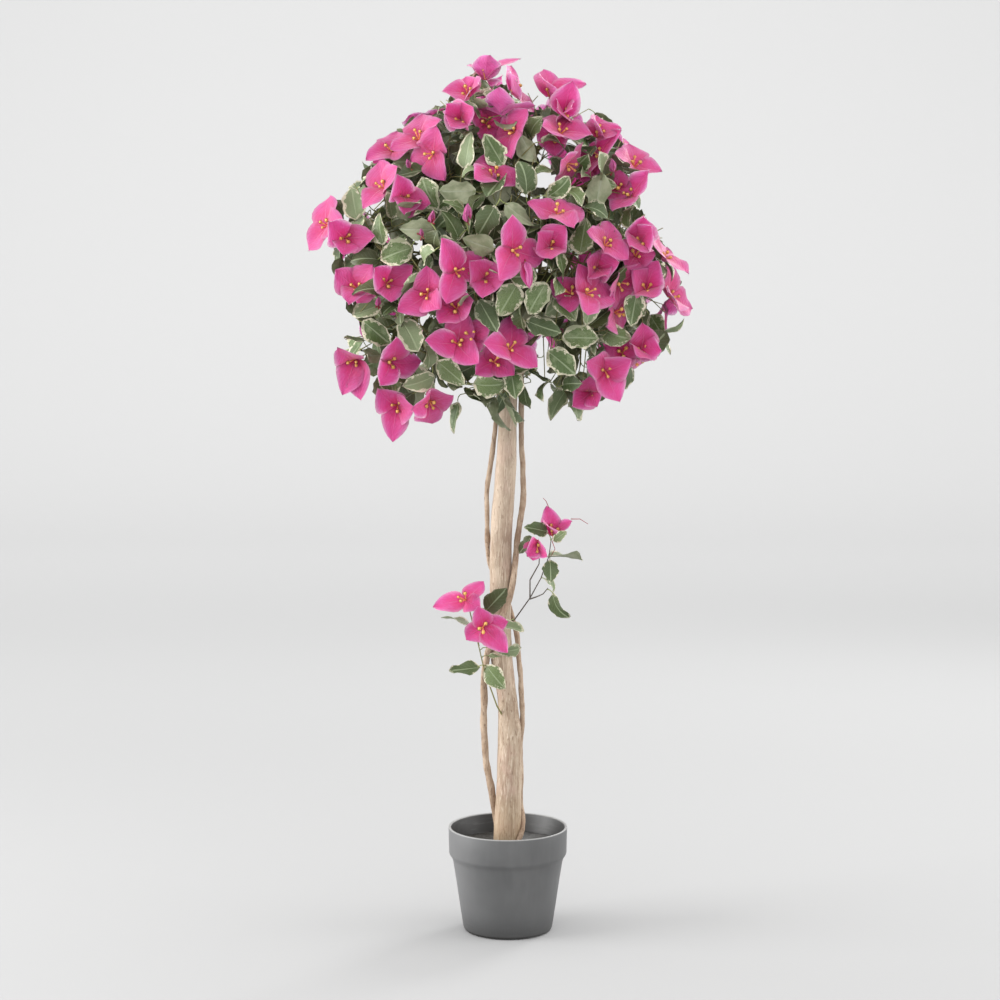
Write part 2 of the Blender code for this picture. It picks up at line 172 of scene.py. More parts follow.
def worn(piece, finish, slot, *nodes):
    """A finished piece: its material, the body it rides on, its slot, which is not used, and the nodes
    it stands for.
    """
    piece.data.materials.clear()
    piece.data.materials.append(finish.material)
    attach(piece, "root")
    if nodes:
        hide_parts(*nodes)


def close_edit():
    """Ends the work on a mesh: its faces all look outwards."""
    bpy.ops.mesh.select_all(action="SELECT")
    bpy.ops.mesh.normals_make_consistent(inside=False)
    bpy.ops.object.mode_set(mode="OBJECT")


def inner_radius(height):
    """The pot's inside radius at a height."""
    share = (height - FLOOR) / (POT_HEIGHT - FLOOR)
    return BASE_RADIUS - WALL + share * (RIM_RADIUS - BASE_RADIUS - 0.0005)


def lathe(name, sides, profile):
    """A shell turned about Z: a ring at the profile's first place, extruded to each next one."""
    deselect()
    radius, height = profile[0]
    bpy.ops.mesh.primitive_circle_add(vertices=sides, radius=radius, location=(0, 0, height))
    piece = bpy.context.object
    piece.name = piece.data.name = name
    bpy.ops.object.mode_set(mode="EDIT")
    bpy.ops.mesh.select_all(action="SELECT")
    for next_radius, next_height in profile[1:]:
        lift = {"value": (0, 0, next_height - height)}
        bpy.ops.mesh.extrude_region_move(TRANSFORM_OT_translate=lift)
        wider = next_radius / radius
        bpy.ops.transform.resize(value=(wider, wider, 1), center_override=(0, 0, next_height))
        radius, height = next_radius, next_height
    bpy.ops.mesh.select_all(action="SELECT")
    bpy.ops.mesh.remove_doubles(threshold=1e-6)
    close_edit()
    bpy.ops.object.transform_apply(location=True, rotation=True, scale=True)
    return piece


pot = lathe(
    "pot_shell",
    POT_SIDES,
    [
        (0.0001, FLOOR),
        (inner_radius(FLOOR) - 0.004, FLOOR),
        (inner_radius(FLOOR + 0.003), FLOOR + 0.003),
        (inner_radius(0.060), 0.060),
        (inner_radius(POT_HEIGHT - 0.002), POT_HEIGHT - 0.002),
        (RIM_RADIUS - WALL + 0.0004, POT_HEIGHT),
        (RIM_RADIUS, POT_HEIGHT),
        (0.0746, 0.116),
        (0.07425, 0.1006),
        (0.0739, 0.0988),
        (0.0730, 0.0970),
        (0.0717, 0.0952),
        (0.0705, 0.0932),
        (0.0697, 0.0908),
        (0.0690, 0.0880),
        (0.0655, 0.066),
        (0.0612, 0.036),
        (BASE_RADIUS + 0.0004, 0.0045),
        (BASE_RADIUS - 0.0012, 0.0012),
        (BASE_RADIUS - 0.0050, 0),
        (BASE_RADIUS - 0.0085, 0),
        (BASE_RADIUS - 0.0100, 0.0014),
        (0.0001, 0.0014),
    ],
)
rounding = pot.modifiers.new("rounding", "BEVEL")
rounding.width = 0.0008
rounding.segments = 3
rounding.angle_limit = math.radians(28)
bpy.ops.object.modifier_apply(modifier="rounding")
bpy.ops.object.shade_smooth_by_angle(angle=math.radians(32))

matt = Finish("matt_grey_plastic", Roughness=0.5, Specular_IOR_Level=0.5)
around = matt.places(1, 1, 1)
height = matt.axis(around, "Z")
sideways = matt.axis(around, "X")
smudge = matt.cloud(around, 14, 4)
grain = matt.cloud(around, 900, 2)
flow = matt.cloud(matt.places(40, 40, 6), 1, 3)
dust = matt.rise(height, 0.010, 0.0, 0, 0.2) * matt.rise(smudge, 0.35, 0.6)
scuffs = matt.rise(matt.cloud(matt.places(260, 260, 40), 1, 4, 0.7), 0.20, 0.50, 0.6, 1)
# Painted highlight: a pale line round the top of the rim, where the rim catches the light, broken by
# the scuffs, so partly wear as well.
rim_highlight_and_wear = matt.rise(height, POT_HEIGHT - 0.0016, POT_HEIGHT - 0.0004) * scuffs
from_axis = matt.vector("LENGTH", matt.places(1, 1, 0), output="Value") + (POT_HEIGHT - height) * 0.13
inside = matt.rise(from_axis, RIM_RADIUS - 0.0012, RIM_RADIUS - 0.0026)
streaks = matt.cloud(matt.places(30, 30, 260), 1, 4, 0.6)
# Painted shade on the inside wall: near black, darkest on the -X side, which lies in shade, lighter
# towards +X, with paler streaks.
inside_painted_shade = matt.layered(
    (0.015, 0.0137, 0.0125),
    ((0.043, 0.043, 0.042), sideways, -0.035, 0.035),
    ((0.100, 0.099, 0.097), streaks, 0.5, 0.7, 0.3),
)
grey = matt.layered(
    (0.085, 0.086, 0.087),
    ((0.105, 0.106, 0.107), smudge, 0.3, 0.7),
    ((0.140, 0.141, 0.141), flow, 0.45, 0.75, 0.35),
    ((0.17, 0.168, 0.162), dust),
    # Painted light: the pot is paler on its -X side, where the key light falls.
    ((0.160, 0.160, 0.161), sideways, -0.030, -0.070, 0.6),
    # Painted shade: darker towards the foot.
    ((0.075, 0.076, 0.077), height, 0.075, 0.0, 0.55),
    ((0.38, 0.38, 0.37), rim_highlight_and_wear * 0.65),
    (inside_painted_shade, inside * (1 - rim_highlight_and_wear)),
)
matt.coat(Base_Color=grey, Roughness=matt.rise(smudge, 0.2, 0.8, 0.42, 0.56))
matt.bump(grain * 0.25 + flow, 0.00025, 0.5)
worn(pot, matt, "pot", "pot")


# ---------------------------------------------------------------------------------------------
# Fill. The trunk stands in a plug of grey cement, cast in the pot and left rough by the trowel:
# a disc, inset many times, whose rings rise and fall a little.

FILL_TOP = 0.1095
FILL_SIDES = 96
FILL_RINGS = 26


def select_edges(piece, wanted):
    """Goes on with a mesh in edit mode, with those edges selected whose ends are both wanted."""
    bpy.ops.object.mode_set(mode="EDIT")
    bpy.ops.mesh.select_mode(type="EDGE")
    bpy.ops.mesh.select_all(action="DESELECT")
    bpy.ops.object.mode_set(mode="OBJECT")
    for edge in piece.data.edges:
        edge.select = all(wanted(piece.data.vertices[end].co) for end in edge.vertices)
    bpy.ops.object.mode_set(mode="EDIT")


fill = lathe(
    "cement_fill",
    FILL_SIDES,
    [(inner_radius(0.100) - 0.0006, 0.100), (inner_radius(FILL_TOP) - 0.0004, FILL_TOP)],
)
select_edges(fill, lambda place: place.z > FILL_TOP - 1e-5)
bpy.ops.mesh.edge_face_add()
bpy.ops.mesh.select_mode(type="FACE")
for ring in range(FILL_RINGS):
    bpy.ops.mesh.inset(thickness=inner_radius(FILL_TOP) / (FILL_RINGS + 1))
close_edit()
for vertex in fill.data.vertices:
    place = vertex.co
    if place.z > FILL_TOP - 1e-5:
        away = math.hypot(place.x, place.y) / inner_radius(FILL_TOP)
        lumps = noise.noise(45 * place) * 0.0011 + noise.noise(140 * place) * 0.0006
        lumps += noise.noise(330 * place) * 0.00025
        place.z += lumps - 0.0008 + 0.0012 * away**6 + 0.0016 * max(0, 1 - 2.6 * away)
bpy.ops.object.shade_smooth()

cement = Finish("rough_cement", Roughness=0.92, Specular_IOR_Level=0.2)
spread = cement.places(1, 1, 1)
mottle = cement.cloud(spread, 60, 5, 0.65)
sand = cement.cloud(spread, 700, 3, 0.7)
pits = cement.node("ShaderNodeTexVoronoi", sockets={"Vector": spread, "Scale": 420})
cement.coat(Base_Color=cement.layered(
    (0.075, 0.074, 0.071),
    ((0.150, 0.149, 0.145), mottle, 0.32, 0.68),
    # Painted shade: the fill is darker on its -X side, where the rim's shadow falls.
    ((0.040, 0.036, 0.031), cement.axis(spread, "X"), 0.010, -0.020, 0.85),
    ((0.22, 0.215, 0.205), sand, 0.5, 0.72, 0.6),
    ((0.07, 0.07, 0.067), pits, 0.16, 0.02, 0.6),
))
cement.bump(mottle + sand * 0.5 + cement.rise(pits, 0.0, 0.25) * 0.4, 0.0012, 0.8)
worn(fill, cement, "fill", "pot_fill")


# ---------------------------------------------------------------------------------------------
# Trunk. A real stem, peeled and dried: pale, faintly pink wood with a fine upright grain, low
# flutes and old knots. One long limb, set in the cement, that thins up through the crown.

TRUNK = (  # height, sideways place and radius of its axis
    (0.110, -0.0023, 0.0165),
    (0.137, -0.0006, 0.0168),
    (0.210, 0.0029, 0.0154),
    (0.259, 0.0022, 0.0140),
    (0.300, -0.0012, 0.0118),
    (0.350, -0.0084, 0.0136),
    (0.400, -0.0098, 0.0138),
    (0.500, -0.0086, 0.0136),
    (0.600, -0.0017, 0.0127),
    (0.656, 0.0001, 0.0112),
    (0.800, 0.0060, 0.0088),
    (0.905, 0.0080, 0.0052),
)
KNOTS = (  # height, bearing, size and how far it stands out
    (0.505, -42, 0.0060, 0.0012),
    (0.546, -8, 0.0075, -0.0007),
    (0.470, -35, 0.0050, 0.0016),
    (0.395, 20, 0.0045, 0.0010),
    (0.283, -40, 0.0070, 0.0016),
    (0.262, 48, 0.0080, 0.0018),
    (0.205, 5, 0.0060, 0.0008),
    (0.168, -60, 0.0050, 0.0010),
    (0.600, 30, 0.0045, 0.0012),
    (0.330, 150, 0.0060, 0.0016),
    (0.440, 175, 0.0065, 0.0014),
    (0.560, 130, 0.0055, 0.0012),
    (0.230, -140, 0.0060, 0.0014),
    (0.640, -120, 0.0050, 0.0012),
)
EASING = 0.010


def eased(rows, height):
    """The values of rows at a height, read along straight runs with their corners rounded."""
    heights = [row[0] for row in rows]
    near = height + np.linspace(-EASING, EASING, 7)
    return [float(np.interp(near, heights, column).mean()) for column in list(zip(*rows))[1:]]


def outward(bearing, elevation):
    """The direction at a bearing (0 towards -Y, 90 towards +X) and an elevation, in degrees."""
    turn, lift = math.radians(bearing), math.radians(elevation)
    flat = math.cos(lift)
    return Vector((math.sin(turn) * flat, -math.cos(turn) * flat, math.sin(lift)))


def trunk_axis(height):
    sideways, radius = eased(TRUNK, height)
    return Vector((sideways, 0, height)), radius


def limb(name, path, radii, sides):
    """A closed round limb along a path, with a radius at each of its points."""
    deselect()
    curve = bpy.data.curves.new(name, "CURVE")
    curve.dimensions = "3D"
    curve.bevel_depth = 1
    curve.bevel_resolution = (sides - 4) // 2
    curve.use_fill_caps = True
    spline = curve.splines.new("POLY")
    spline.points.add(len(path) - 1)
    for point, place, radius in zip(spline.points, path, radii):
        point.co = (*place, 1)
        point.radius = radius
    piece = bpy.data.objects.new(name, curve)
    bpy.context.collection.objects.link(piece)
    bpy.context.view_layer.objects.active = piece
    piece.select_set(True)
    bpy.ops.object.convert(target="MESH")
    bpy.ops.object.shade_smooth()
    return bpy.context.object


def carved(piece, cut):
    """Moves each vertex along its normal by what cut gives for its place."""
    normals = [vertex.normal.copy() for vertex in piece.data.vertices]
    for vertex, normal in zip(piece.data.vertices, normals):
        vertex.co += cut(vertex.co) * normal


def trunk_relief(place):
    """Low flutes that wind a little, ripples of old growth, and the knots."""
    axis, radius = trunk_axis(place.z)
    from_axis = Vector((place.x - axis.x, place.y - axis.y, 0))
    bearing = math.degrees(math.atan2(from_axis.x, -from_axis.y))
    wound = Vector((place.x, place.y, 0.22 * place.z))
    depth = 0.0011 * noise.noise(48 * wound) + 0.00065 * noise.noise(130 * wound)
    depth += 0.0003 * noise.noise(Vector((300 * place.x, 300 * place.y, 40 * place.z)))
    depth += 0.0005 * noise.noise(Vector((0, 0, 38 * place.z)) + from_axis * 20)
    for height, knot, size, stands in KNOTS:
        aside = math.radians((bearing - knot + 180) % 360 - 180) * radius
        near = math.hypot(aside, 0.7 * (place.z - height)) / size
        if near < 2.2:
            depth += stands * math.exp(-2 * near * near)
            depth += 0.0004 * math.sin(9 * near) * math.exp(-1.4 * near)
    return depth * min(1, radius / 0.011)


heights = np.linspace(0.104, 0.905, 330).tolist()
stem = [trunk_axis(height) for height in heights]
trunk = limb("trunk_wood", [place for place, _ in stem], [radius for _, radius in stem], 44)
carved(trunk, trunk_relief)

dry = Finish("dry_peeled_wood", Roughness=0.78, Specular_IOR_Level=0.25)
upright = dry.places(1, 1, 0.06)
where = dry.places(1, 1, 1)
height = dry.axis(where, "Z")
broad = dry.cloud(dry.places(1, 1, 0.35), 42, 4, 0.6)
fibre = dry.cloud(upright, 900, 3, 0.65, 0.4)
streak = dry.cloud(upright, 260, 4, 0.7, 0.8)
fleck = dry.cloud(dry.places(1, 1, 0.22), 520, 2, 0.5)
wood = dry.layered(
    (0.295, 0.211, 0.146),
    ((0.525, 0.418, 0.316), broad, 0.30, 0.70),
    ((0.470, 0.325, 0.260), dry.cloud(where, 26, 3), 0.48, 0.66, 0.55),
    ((0.250, 0.165, 0.110), streak, 0.50, 0.66, 0.75),
    ((0.710, 0.605, 0.485), fibre, 0.52, 0.68, 0.65),
    ((0.190, 0.120, 0.075), fleck, 0.60, 0.70, 0.75),
    ((0.400, 0.275, 0.150), height, 0.19, 0.12, 0.45),
    ((0.690, 0.570, 0.460), height, 0.34, 0.64, 0.26),
    ((0.300, 0.200, 0.140), height, 0.70, 0.80, 0.5),
)
dry.coat(Base_Color=wood, Roughness=dry.rise(streak, 0.3, 0.8, 0.70, 0.88))
dry.bump(fibre * 0.6 + streak * 1.2 + fleck * 0.5, 0.0010, 1.0)
worn(trunk, dry, "trunk", "trunk")


# ---------------------------------------------------------------------------------------------
# Vines. Two thinner stems of the same wood are wound round the trunk, standing off it here and
# there, and go up into the crown with it. Each is a limb with its own knots and a darker head.

VINES = {  # height, bearing round the trunk and bow away from it
    "vine_1": (
        (0.0045, 0.0032),
        (
            (0.110, 200, 0.0000),
            (0.150, 230, 0.0000),
            (0.175, 258, 0.0010),
            (0.215, 270, 0.0110),
            (0.265, 270, 0.0145),
            (0.313, 271, 0.0115),
            (0.352, 290, 0.0010),
            (0.430, 405, 0.0000),
            (0.485, 448, 0.0015),
            (0.550, 450, 0.0080),
            (0.612, 450, 0.0025),
            (0.745, 440, 0.0000),
        ),
    ),
    "vine_2": (
        (0.0033, 0.0029),
        (
            (0.110, 34, 0.0000),
            (0.155, 128, 0.0000),
            (0.240, 134, 0.0000),
            (0.285, 97, 0.0022),
            (0.330, 90, 0.0052),
            (0.375, 94, 0.0045),
            (0.402, 120, 0.0000),
            (0.485, 262, 0.0000),
            (0.510, 270, 0.0010),
            (0.560, 270, 0.0062),
            (0.612, 268, 0.0020),
            (0.660, 252, 0.0000),
            (0.745, 246, 0.0000),
        ),
    ),
}


def vine_relief(place):
    """Swollen joints every few centimetres, over the flutes of a twisted stem."""
    depth = 0.0007 * noise.noise(Vector((0, 0, 55 * place.z)) + 12 * place)
    depth += 0.0005 * noise.noise(Vector((160 * place.x, 160 * place.y, 42 * place.z)))
    return depth + 0.00025 * noise.noise(Vector((420 * place.x, 420 * place.y, 90 * place.z)))


twisted = Finish("vine_wood", Roughness=0.8, Specular_IOR_Level=0.25)
where = twisted.places(1, 1, 1)
streak = twisted.cloud(twisted.places(1, 1, 0.10), 600, 4, 0.7, 0.6)
fleck = twisted.cloud(twisted.places(1, 1, 0.4), 300, 3, 0.6)
twisted.coat(Base_Color=twisted.layered(
    (0.330, 0.230, 0.160),
    ((0.500, 0.385, 0.285), twisted.cloud(where, 55, 4, 0.6), 0.32, 0.68),
    ((0.210, 0.135, 0.090), streak, 0.48, 0.66, 0.7),
    ((0.150, 0.100, 0.065), fleck, 0.58, 0.68, 0.75),
    ((0.265, 0.200, 0.150), twisted.axis(where, "Z"), 0.56, 0.68, 0.4),
))
twisted.bump(streak + fleck * 0.5, 0.0006, 0.9)

for name, (ends, rows) in VINES.items():
    path = []
    heights = np.linspace(0.106, rows[-1][0], 240).tolist()
    thickness = np.linspace(*ends, len(heights)).tolist()
    for height, own in zip(heights, thickness):
        bearing, bow = eased(rows, height)
        axis, radius = trunk_axis(height)
        path.append(axis + (radius + own + bow) * outward(bearing, 0))
    vine = limb(name + "_wood", path, thickness, 16)
    carved(vine, vine_relief)
    worn(vine, twisted, "vine", name)


# ---------------------------------------------------------------------------------------------
# Boughs. From the trunk's head a bough fans out to each mass of the crown: olive-brown wood,
# forked from the trunk's side, hidden but for a glimpse between the leaves.

UP = Vector((0, 0, 1))
CROWN = Vector((-0.010, 0, 0.864))
MASSES = (  # name, bearing and elevation from the crown's centre, reach, blossoms
    ("summit", 90, 87, 0.225, 4),
    ("top", -14, 57, 0.232, 5),
    ("top_right", 42, 54, 0.226, 4),
    ("upper_right", 43, 24, 0.222, 5),
    ("upper_left", -35, 34, 0.206, 4),
    ("upper_middle", 4, 31, 0.214, 3),
    ("left", -35, 10, 0.222, 4),
    ("far_left", -68, 4, 0.246, 4),
    ("lower_left", -40, -14, 0.232, 4),
    ("middle", -6, -4, 0.230, 4),
    ("right_of_middle", 17, 10, 0.220, 3),
    ("right", 33, -11, 0.230, 5),
    ("far_right", 66, -4, 0.246, 5),
    ("lower_middle", -7, -30, 0.232, 3),
    ("drooping_left", -60, -46, 0.266, 5),
    ("drooping_right", 54, -43, 0.256, 4),
    ("underside", 2, -60, 0.236, 0),
    ("side_right", 104, 22, 0.218, 4),
    ("side_right_low", 104, -24, 0.244, 4),
    ("side_left", -101, 30, 0.204, 4),
    ("side_left_low", -108, -14, 0.222, 4),
    ("back_top", 172, 53, 0.228, 5),
    ("back_right", 143, 14, 0.230, 5),
    ("back_left", -146, 16, 0.226, 5),
    ("back_right_low", 150, -28, 0.232, 4),
    ("back_left_low", -152, -30, 0.232, 4),
)
BOUGH_SHARE = 0.40
BOUGH_RISE = 0.75
BOUGH_FEET = (0.700, 0.885)


def bend(start, middle, end, count):
    """Points along a curve that leaves start towards middle and comes into end from it."""
    shares = np.linspace(0, 1, count).tolist()
    return [(1 - t) ** 2 * start + 2 * t * (1 - t) * middle + t * t * end for t in shares]


bark = Finish("bough_bark", Roughness=0.82, Specular_IOR_Level=0.25)
where = bark.places(1, 1, 1)
rough = bark.cloud(where, 420, 4, 0.7)
bark.coat(Base_Color=bark.layered(
    (0.120, 0.085, 0.050),
    ((0.270, 0.205, 0.125), bark.cloud(where, 70, 4, 0.6), 0.35, 0.65),
    ((0.085, 0.060, 0.040), rough, 0.55, 0.7, 0.6),
))
bark.bump(rough, 0.0006, 0.8)


def bough_relief(place):
    return 0.00045 * noise.noise(95 * place) + 0.0003 * noise.noise(260 * place)


boughs = {}
for name, bearing, elevation, reach, _ in MASSES:
    tip = CROWN + BOUGH_SHARE * reach * outward(bearing, elevation)
    if name == "summit":
        boughs[name] = [stem[-1][0] - 0.01 * UP, stem[-1][0]]
        continue
    way_out = math.hypot(tip.x - CROWN.x, tip.y)
    height = float(np.clip(tip.z - BOUGH_RISE * way_out, *BOUGH_FEET))
    if name == "underside":
        height = BOUGH_FEET[0]
    axis, radius = trunk_axis(height)
    side = outward(bearing, 0)
    foot = axis + (radius - 0.0015) * side
    if name == "underside":
        boughs[name] = [foot, axis + (radius + 0.003) * side]
        continue
    path = bend(foot, foot + 0.45 * way_out * side, tip, 12)
    boughs[name] = path
    thickness = (0.0019 + 0.0022 * np.linspace(1, 0, 12) ** 1.5).tolist()
    bough = limb("bark_" + name, path, thickness, 10)
    carved(bough, bough_relief)
    worn(bough, bark, "bough", "bough_" + name)


# ---------------------------------------------------------------------------------------------
# Twigs and how they grow. From each bough's tip a stem goes on to the crown's edge, and side
# twigs leave it for the places where a blossom or a tuft of leaves sits in the light.

STEM_ENDS = (0.0019, 0.0011)
TWIG_ENDS = (0.0011, 0.0006)
TIP_DEPTH = 0.036
SPREAD = math.radians(24)


class Gathering:
    """Small shapes of four-sided faces on their way to being one piece, each with its chart."""

    def __init__(self):
        self.points, self.faces, self.charts = [], [], []
        self.count = 0

    def add(self, points, faces, chart):
        self.points.append(points)
        self.faces.append(faces + self.count)
        self.charts.append(chart)
        self.count += len(points)

    def piece(self, name):
        points, faces = np.concatenate(self.points), np.concatenate(self.faces)
        corners = np.concatenate(self.charts)[faces.ravel()]
        mesh = bpy.data.meshes.new(name)
        mesh.vertices.add(len(points))
        mesh.vertices.foreach_set("co", points.astype(np.float32).ravel())
        mesh.loops.add(faces.size)
        mesh.loops.foreach_set("vertex_index", faces.astype(np.int32).ravel())
        mesh.polygons.add(len(faces))
        mesh.polygons.foreach_set("loop_start", np.arange(0, faces.size, 4, dtype=np.int32))
        chart = mesh.uv_layers.new(name="OFBake").data
        chart.foreach_set("uv", corners.astype(np.float32).ravel())
        mesh.update(calc_edges=True)
        mesh.shade_smooth()
        made = bpy.data.objects.new(name, mesh)
        bpy.context.collection.objects.link(made)
        return made


def rod(gathering, path, ends, sides=4):
    """A slim tube along a path, from one end's radius to the other's, with a closed tip."""
    points, chart = [], []
    across = (path[1] - path[0]).orthogonal()
    for index, place in enumerate(path):
        ahead = path[min(index + 1, len(path) - 1)] - path[max(index - 1, 0)]
        across = (across - across.project(ahead)).normalized()
        beside = ahead.normalized().cross(across)
        share = index / (len(path) - 1)
        radius = ends[0] + share * (ends[1] - ends[0])
        for side in range(sides):
            turn = 2 * math.pi * side / sides
            points.append(place + radius * (math.cos(turn) * across + math.sin(turn) * beside))
            chart.append((0.1 + 0.8 * side / sides, 0.05 + 0.9 * share))
    faces = []
    for first in range(0, len(points) - sides, sides):
        for side in range(sides):
            low, after = first + side, first + (side + 1) % sides
            faces.append((low, after, after + sides, low + sides))
    if sides == 4:
        faces.append(tuple(range(len(points) - 4, len(points))))
    gathering.add(np.array(points), np.array(faces), np.array(chart))


directions = [outward(bearing, elevation) for _, bearing, elevation, *_ in MASSES]
reaches = np.array([row[3] for row in MASSES])
compass = np.array(directions)


def crown_reach(out):
    """How far the crown reaches in a direction, eased between its masses."""
    angles = np.degrees(np.arccos(np.clip(compass @ np.array(out), -1, 1)))
    weights = np.exp(-((angles / 13) ** 2)) + 1e-9
    return float((weights * reaches).sum() / weights.sum())


def on_stem(path, share):
    """The place at a share of a path's length, and the way the path runs there."""
    along = share * (len(path) - 1)
    index = min(int(along), len(path) - 2)
    first, second = path[index : index + 2]
    return first.lerp(second, along - index), (second - first).normalized()


woody = Gathering()
perches = []  # places along the twigs from which a petiole may spring, and the way they run


def twig(path, ends, sides=4, gathering=woody):
    """Grows a twig, and notes its places."""
    rod(gathering, path, ends, sides)
    for index in range(1, len(path)):
        for share in (0.0, 0.5):
            place = path[index].lerp(path[index - 1], share)
            perches.append((place, (path[index] - path[index - 1]).normalized()))


stems = []
for (name, _, _, reach, _), towards in zip(MASSES, directions):
    start = boughs[name][-1]
    ahead = (boughs[name][-1] - boughs[name][-2]).normalized()
    end = CROWN + (reach - TIP_DEPTH) * towards
    stems.append(bend(start, start + 0.45 * (end - start).length * ahead, end, 9))
    twig(stems[-1], STEM_ENDS, 6)


def side_twig(end, ends=TWIG_ENDS, count=6):
    """A twig to its end from the stem that lies nearest in direction."""
    out = (end - CROWN).normalized()
    number = int(np.argmax(compass @ np.array(out)))
    apart = math.acos(min(1, directions[number].dot(out)))
    fork, ahead = on_stem(stems[number], max(0.1, 0.90 - 0.66 * min(apart / SPREAD, 1.2)))
    middle = fork + 0.4 * (end - fork).length * (ahead + 0.5 * (end - fork).normalized())
    path = bend(fork, middle, end, count)
    twig(path, ends)
    return path


class Room:
    """The room in the crown: what the limbs, leaves and blossoms already take up."""

    def __init__(self, limbs):
        self.limbs = limbs
        self.centres = np.zeros((0, 3))
        self.trees = []

    def take(self, points, faces, wide=0.055):
        """Keeps the room of a shape if it is free, and says whether it was."""
        tree = BVHTree.FromPolygons([tuple(point) for point in points], faces)
        if self.limbs.overlap(tree):
            return False
        centre = np.mean(points, axis=0)
        near = np.nonzero(((self.centres - centre) ** 2).sum(axis=1) < wide**2)[0]
        if any(self.trees[index].overlap(tree) for index in near):
            return False
        self.centres = np.vstack([self.centres, centre])
        self.trees.append(tree)
        return True


limb_points, limb_faces = [], []
for name in ("trunk", "vine_1", "vine_2"):
    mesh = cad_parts[name].data
    before = len(limb_points)
    limb_faces += [tuple(before + corner for corner in face.vertices) for face in mesh.polygons]
    limb_points += [tuple(vertex.co) for vertex in mesh.vertices]
room = Room(BVHTree.FromPolygons(limb_points, limb_faces))


def turned_to(root, toward, facing):
    """A place at root with X along toward and Z as near facing as that allows."""
    x = toward.normalized()
    z = (facing - facing.project(x)).normalized()
    return np.array(Matrix((x, z.cross(x), z)).transposed()), np.array(root)


# ---------------------------------------------------------------------------------------------
# The crown from the front. The plant is seen from one side most of all, so that side's sprays
# are set where the eye finds them, and the air between them is kept open right through.

EYE = Vector((-0.0099, -3.458, 0.990))
DIP = math.radians(7.28)
LENS = 2800  # thousandths of the view's width at a distance of one
AHEAD = Vector((0, math.cos(DIP), -math.sin(DIP)))
ABOVE = Vector((0, math.sin(DIP), math.cos(DIP)))
OPENINGS = {  # radius, and the places in the view, in thousandths of its width
    13: (
        (480, 42), (508, 42), (493, 43), (469, 48), (542, 51), (529, 55), (554, 55), (458, 59),
        (572, 65), (526, 68), (584, 68), (443, 71), (597, 81), (429, 85), (420, 94), (591, 95),
        (407, 100), (603, 100), (614, 106), (625, 114), (389, 117), (641, 128), (377, 131), (368, 140),
        (354, 154), (672, 166), (345, 172), (327, 178), (665, 187), (305, 198), (662, 199), (299, 209),
        (654, 210), (666, 215), (300, 223), (678, 227), (294, 234), (688, 245), (291, 246), (692, 257),
        (317, 259), (305, 262), (699, 269), (320, 271), (698, 282), (318, 284), (701, 294), (327, 298),
        (696, 307), (332, 313), (693, 319), (331, 330), (689, 331), (327, 342), (682, 342), (321, 353),
        (678, 354), (327, 364), (664, 367), (644, 373), (640, 386), (643, 398), (361, 406), (372, 413),
        (611, 414), (627, 414), (594, 422), (388, 430), (474, 431), (570, 432), (422, 434), (583, 434),
        (399, 437), (434, 437), (542, 440), (559, 440), (451, 453), (333, 377), (520, 46), (646, 140),
        (317, 186), (470, 443),
    ),
    12: (
        (656, 150), (342, 387),
    ),
    11: (
        (351, 396), (526, 83),
    ),
    10: (
        (581, 116), (477, 416), (539, 428),
    ),
    9: (
        (366, 110), (384, 93), (346, 132),
    ),
    8: (
        (400, 111), (357, 166), (339, 183), (334, 189), (656, 223), (668, 312), (406, 77), (332, 154),
    ),
    7: (
        (343, 325), (416, 423), (501, 53), (582, 104), (330, 258), (537, 417), (435, 96), (370, 397),
        (675, 239),
    ),
    6: (
        (660, 161), (446, 441), (566, 76), (350, 324), (537, 410), (481, 448), (559, 67), (310, 215),
        (410, 431), (543, 162), (322, 246), (344, 309), (533, 384), (631, 402), (384, 418), (439, 425),
        (683, 203), (423, 66), (353, 118),
    ),
    5: (
        (456, 72), (497, 81), (538, 99), (549, 105), (372, 389), (631, 136), (380, 143), (553, 153),
        (335, 197), (657, 231), (538, 344), (486, 54), (539, 63), (467, 68), (575, 77), (448, 83),
        (580, 89), (593, 108), (628, 126), (625, 135), (655, 177), (540, 184), (642, 204), (329, 239),
        (541, 268), (539, 349), (635, 363), (471, 408), (482, 441), (534, 450), (393, 81),
    ),
    4: (
        (335, 141), (657, 303), (376, 206), (371, 97), (683, 191), (422, 246), (542, 362), (445, 407),
        (504, 70), (369, 210), (662, 296), (552, 344),
    ),
    3: (
        (444, 104), (361, 124), (537, 140), (582, 191), (687, 212), (682, 275), (583, 370), (472, 371),
        (414, 67), (481, 91), (531, 109), (570, 145), (681, 181), (574, 184), (618, 218), (572, 263),
        (425, 317), (605, 345), (586, 356), (418, 368), (430, 60), (417, 73), (613, 86), (619, 90),
        (555, 98), (376, 103), (428, 110), (323, 161), (533, 209), (347, 217), (394, 235), (597, 255),
        (647, 311), (554, 314), (365, 343), (373, 380), (555, 381), (461, 397), (443, 416),
    ),
}
openings = np.array([(*place, radius) for radius, places in OPENINGS.items() for place in places])


def sight(u, v):
    """The way from the eye to a place in the view."""
    return (AHEAD + (u - 500) / LENS * Vector((1, 0, 0)) + (500 - v) / LENS * ABOVE).normalized()


def seen_at(points):
    """Where points are in the view."""
    away = np.asarray(points) - np.array(EYE)
    depth = away @ np.array(AHEAD)
    u, v = 500 + LENS * away[:, 0] / depth, 500 - LENS * (away @ np.array(ABOVE)) / depth
    return np.stack([u, v], axis=1)


def in_opening(points):
    """Whether any of the points stands in one of the openings."""
    apart = seen_at(points)[:, None, :] - openings[None, :, :2]
    return bool(((apart**2).sum(axis=2) < (openings[:, 2] + 1) ** 2).any())


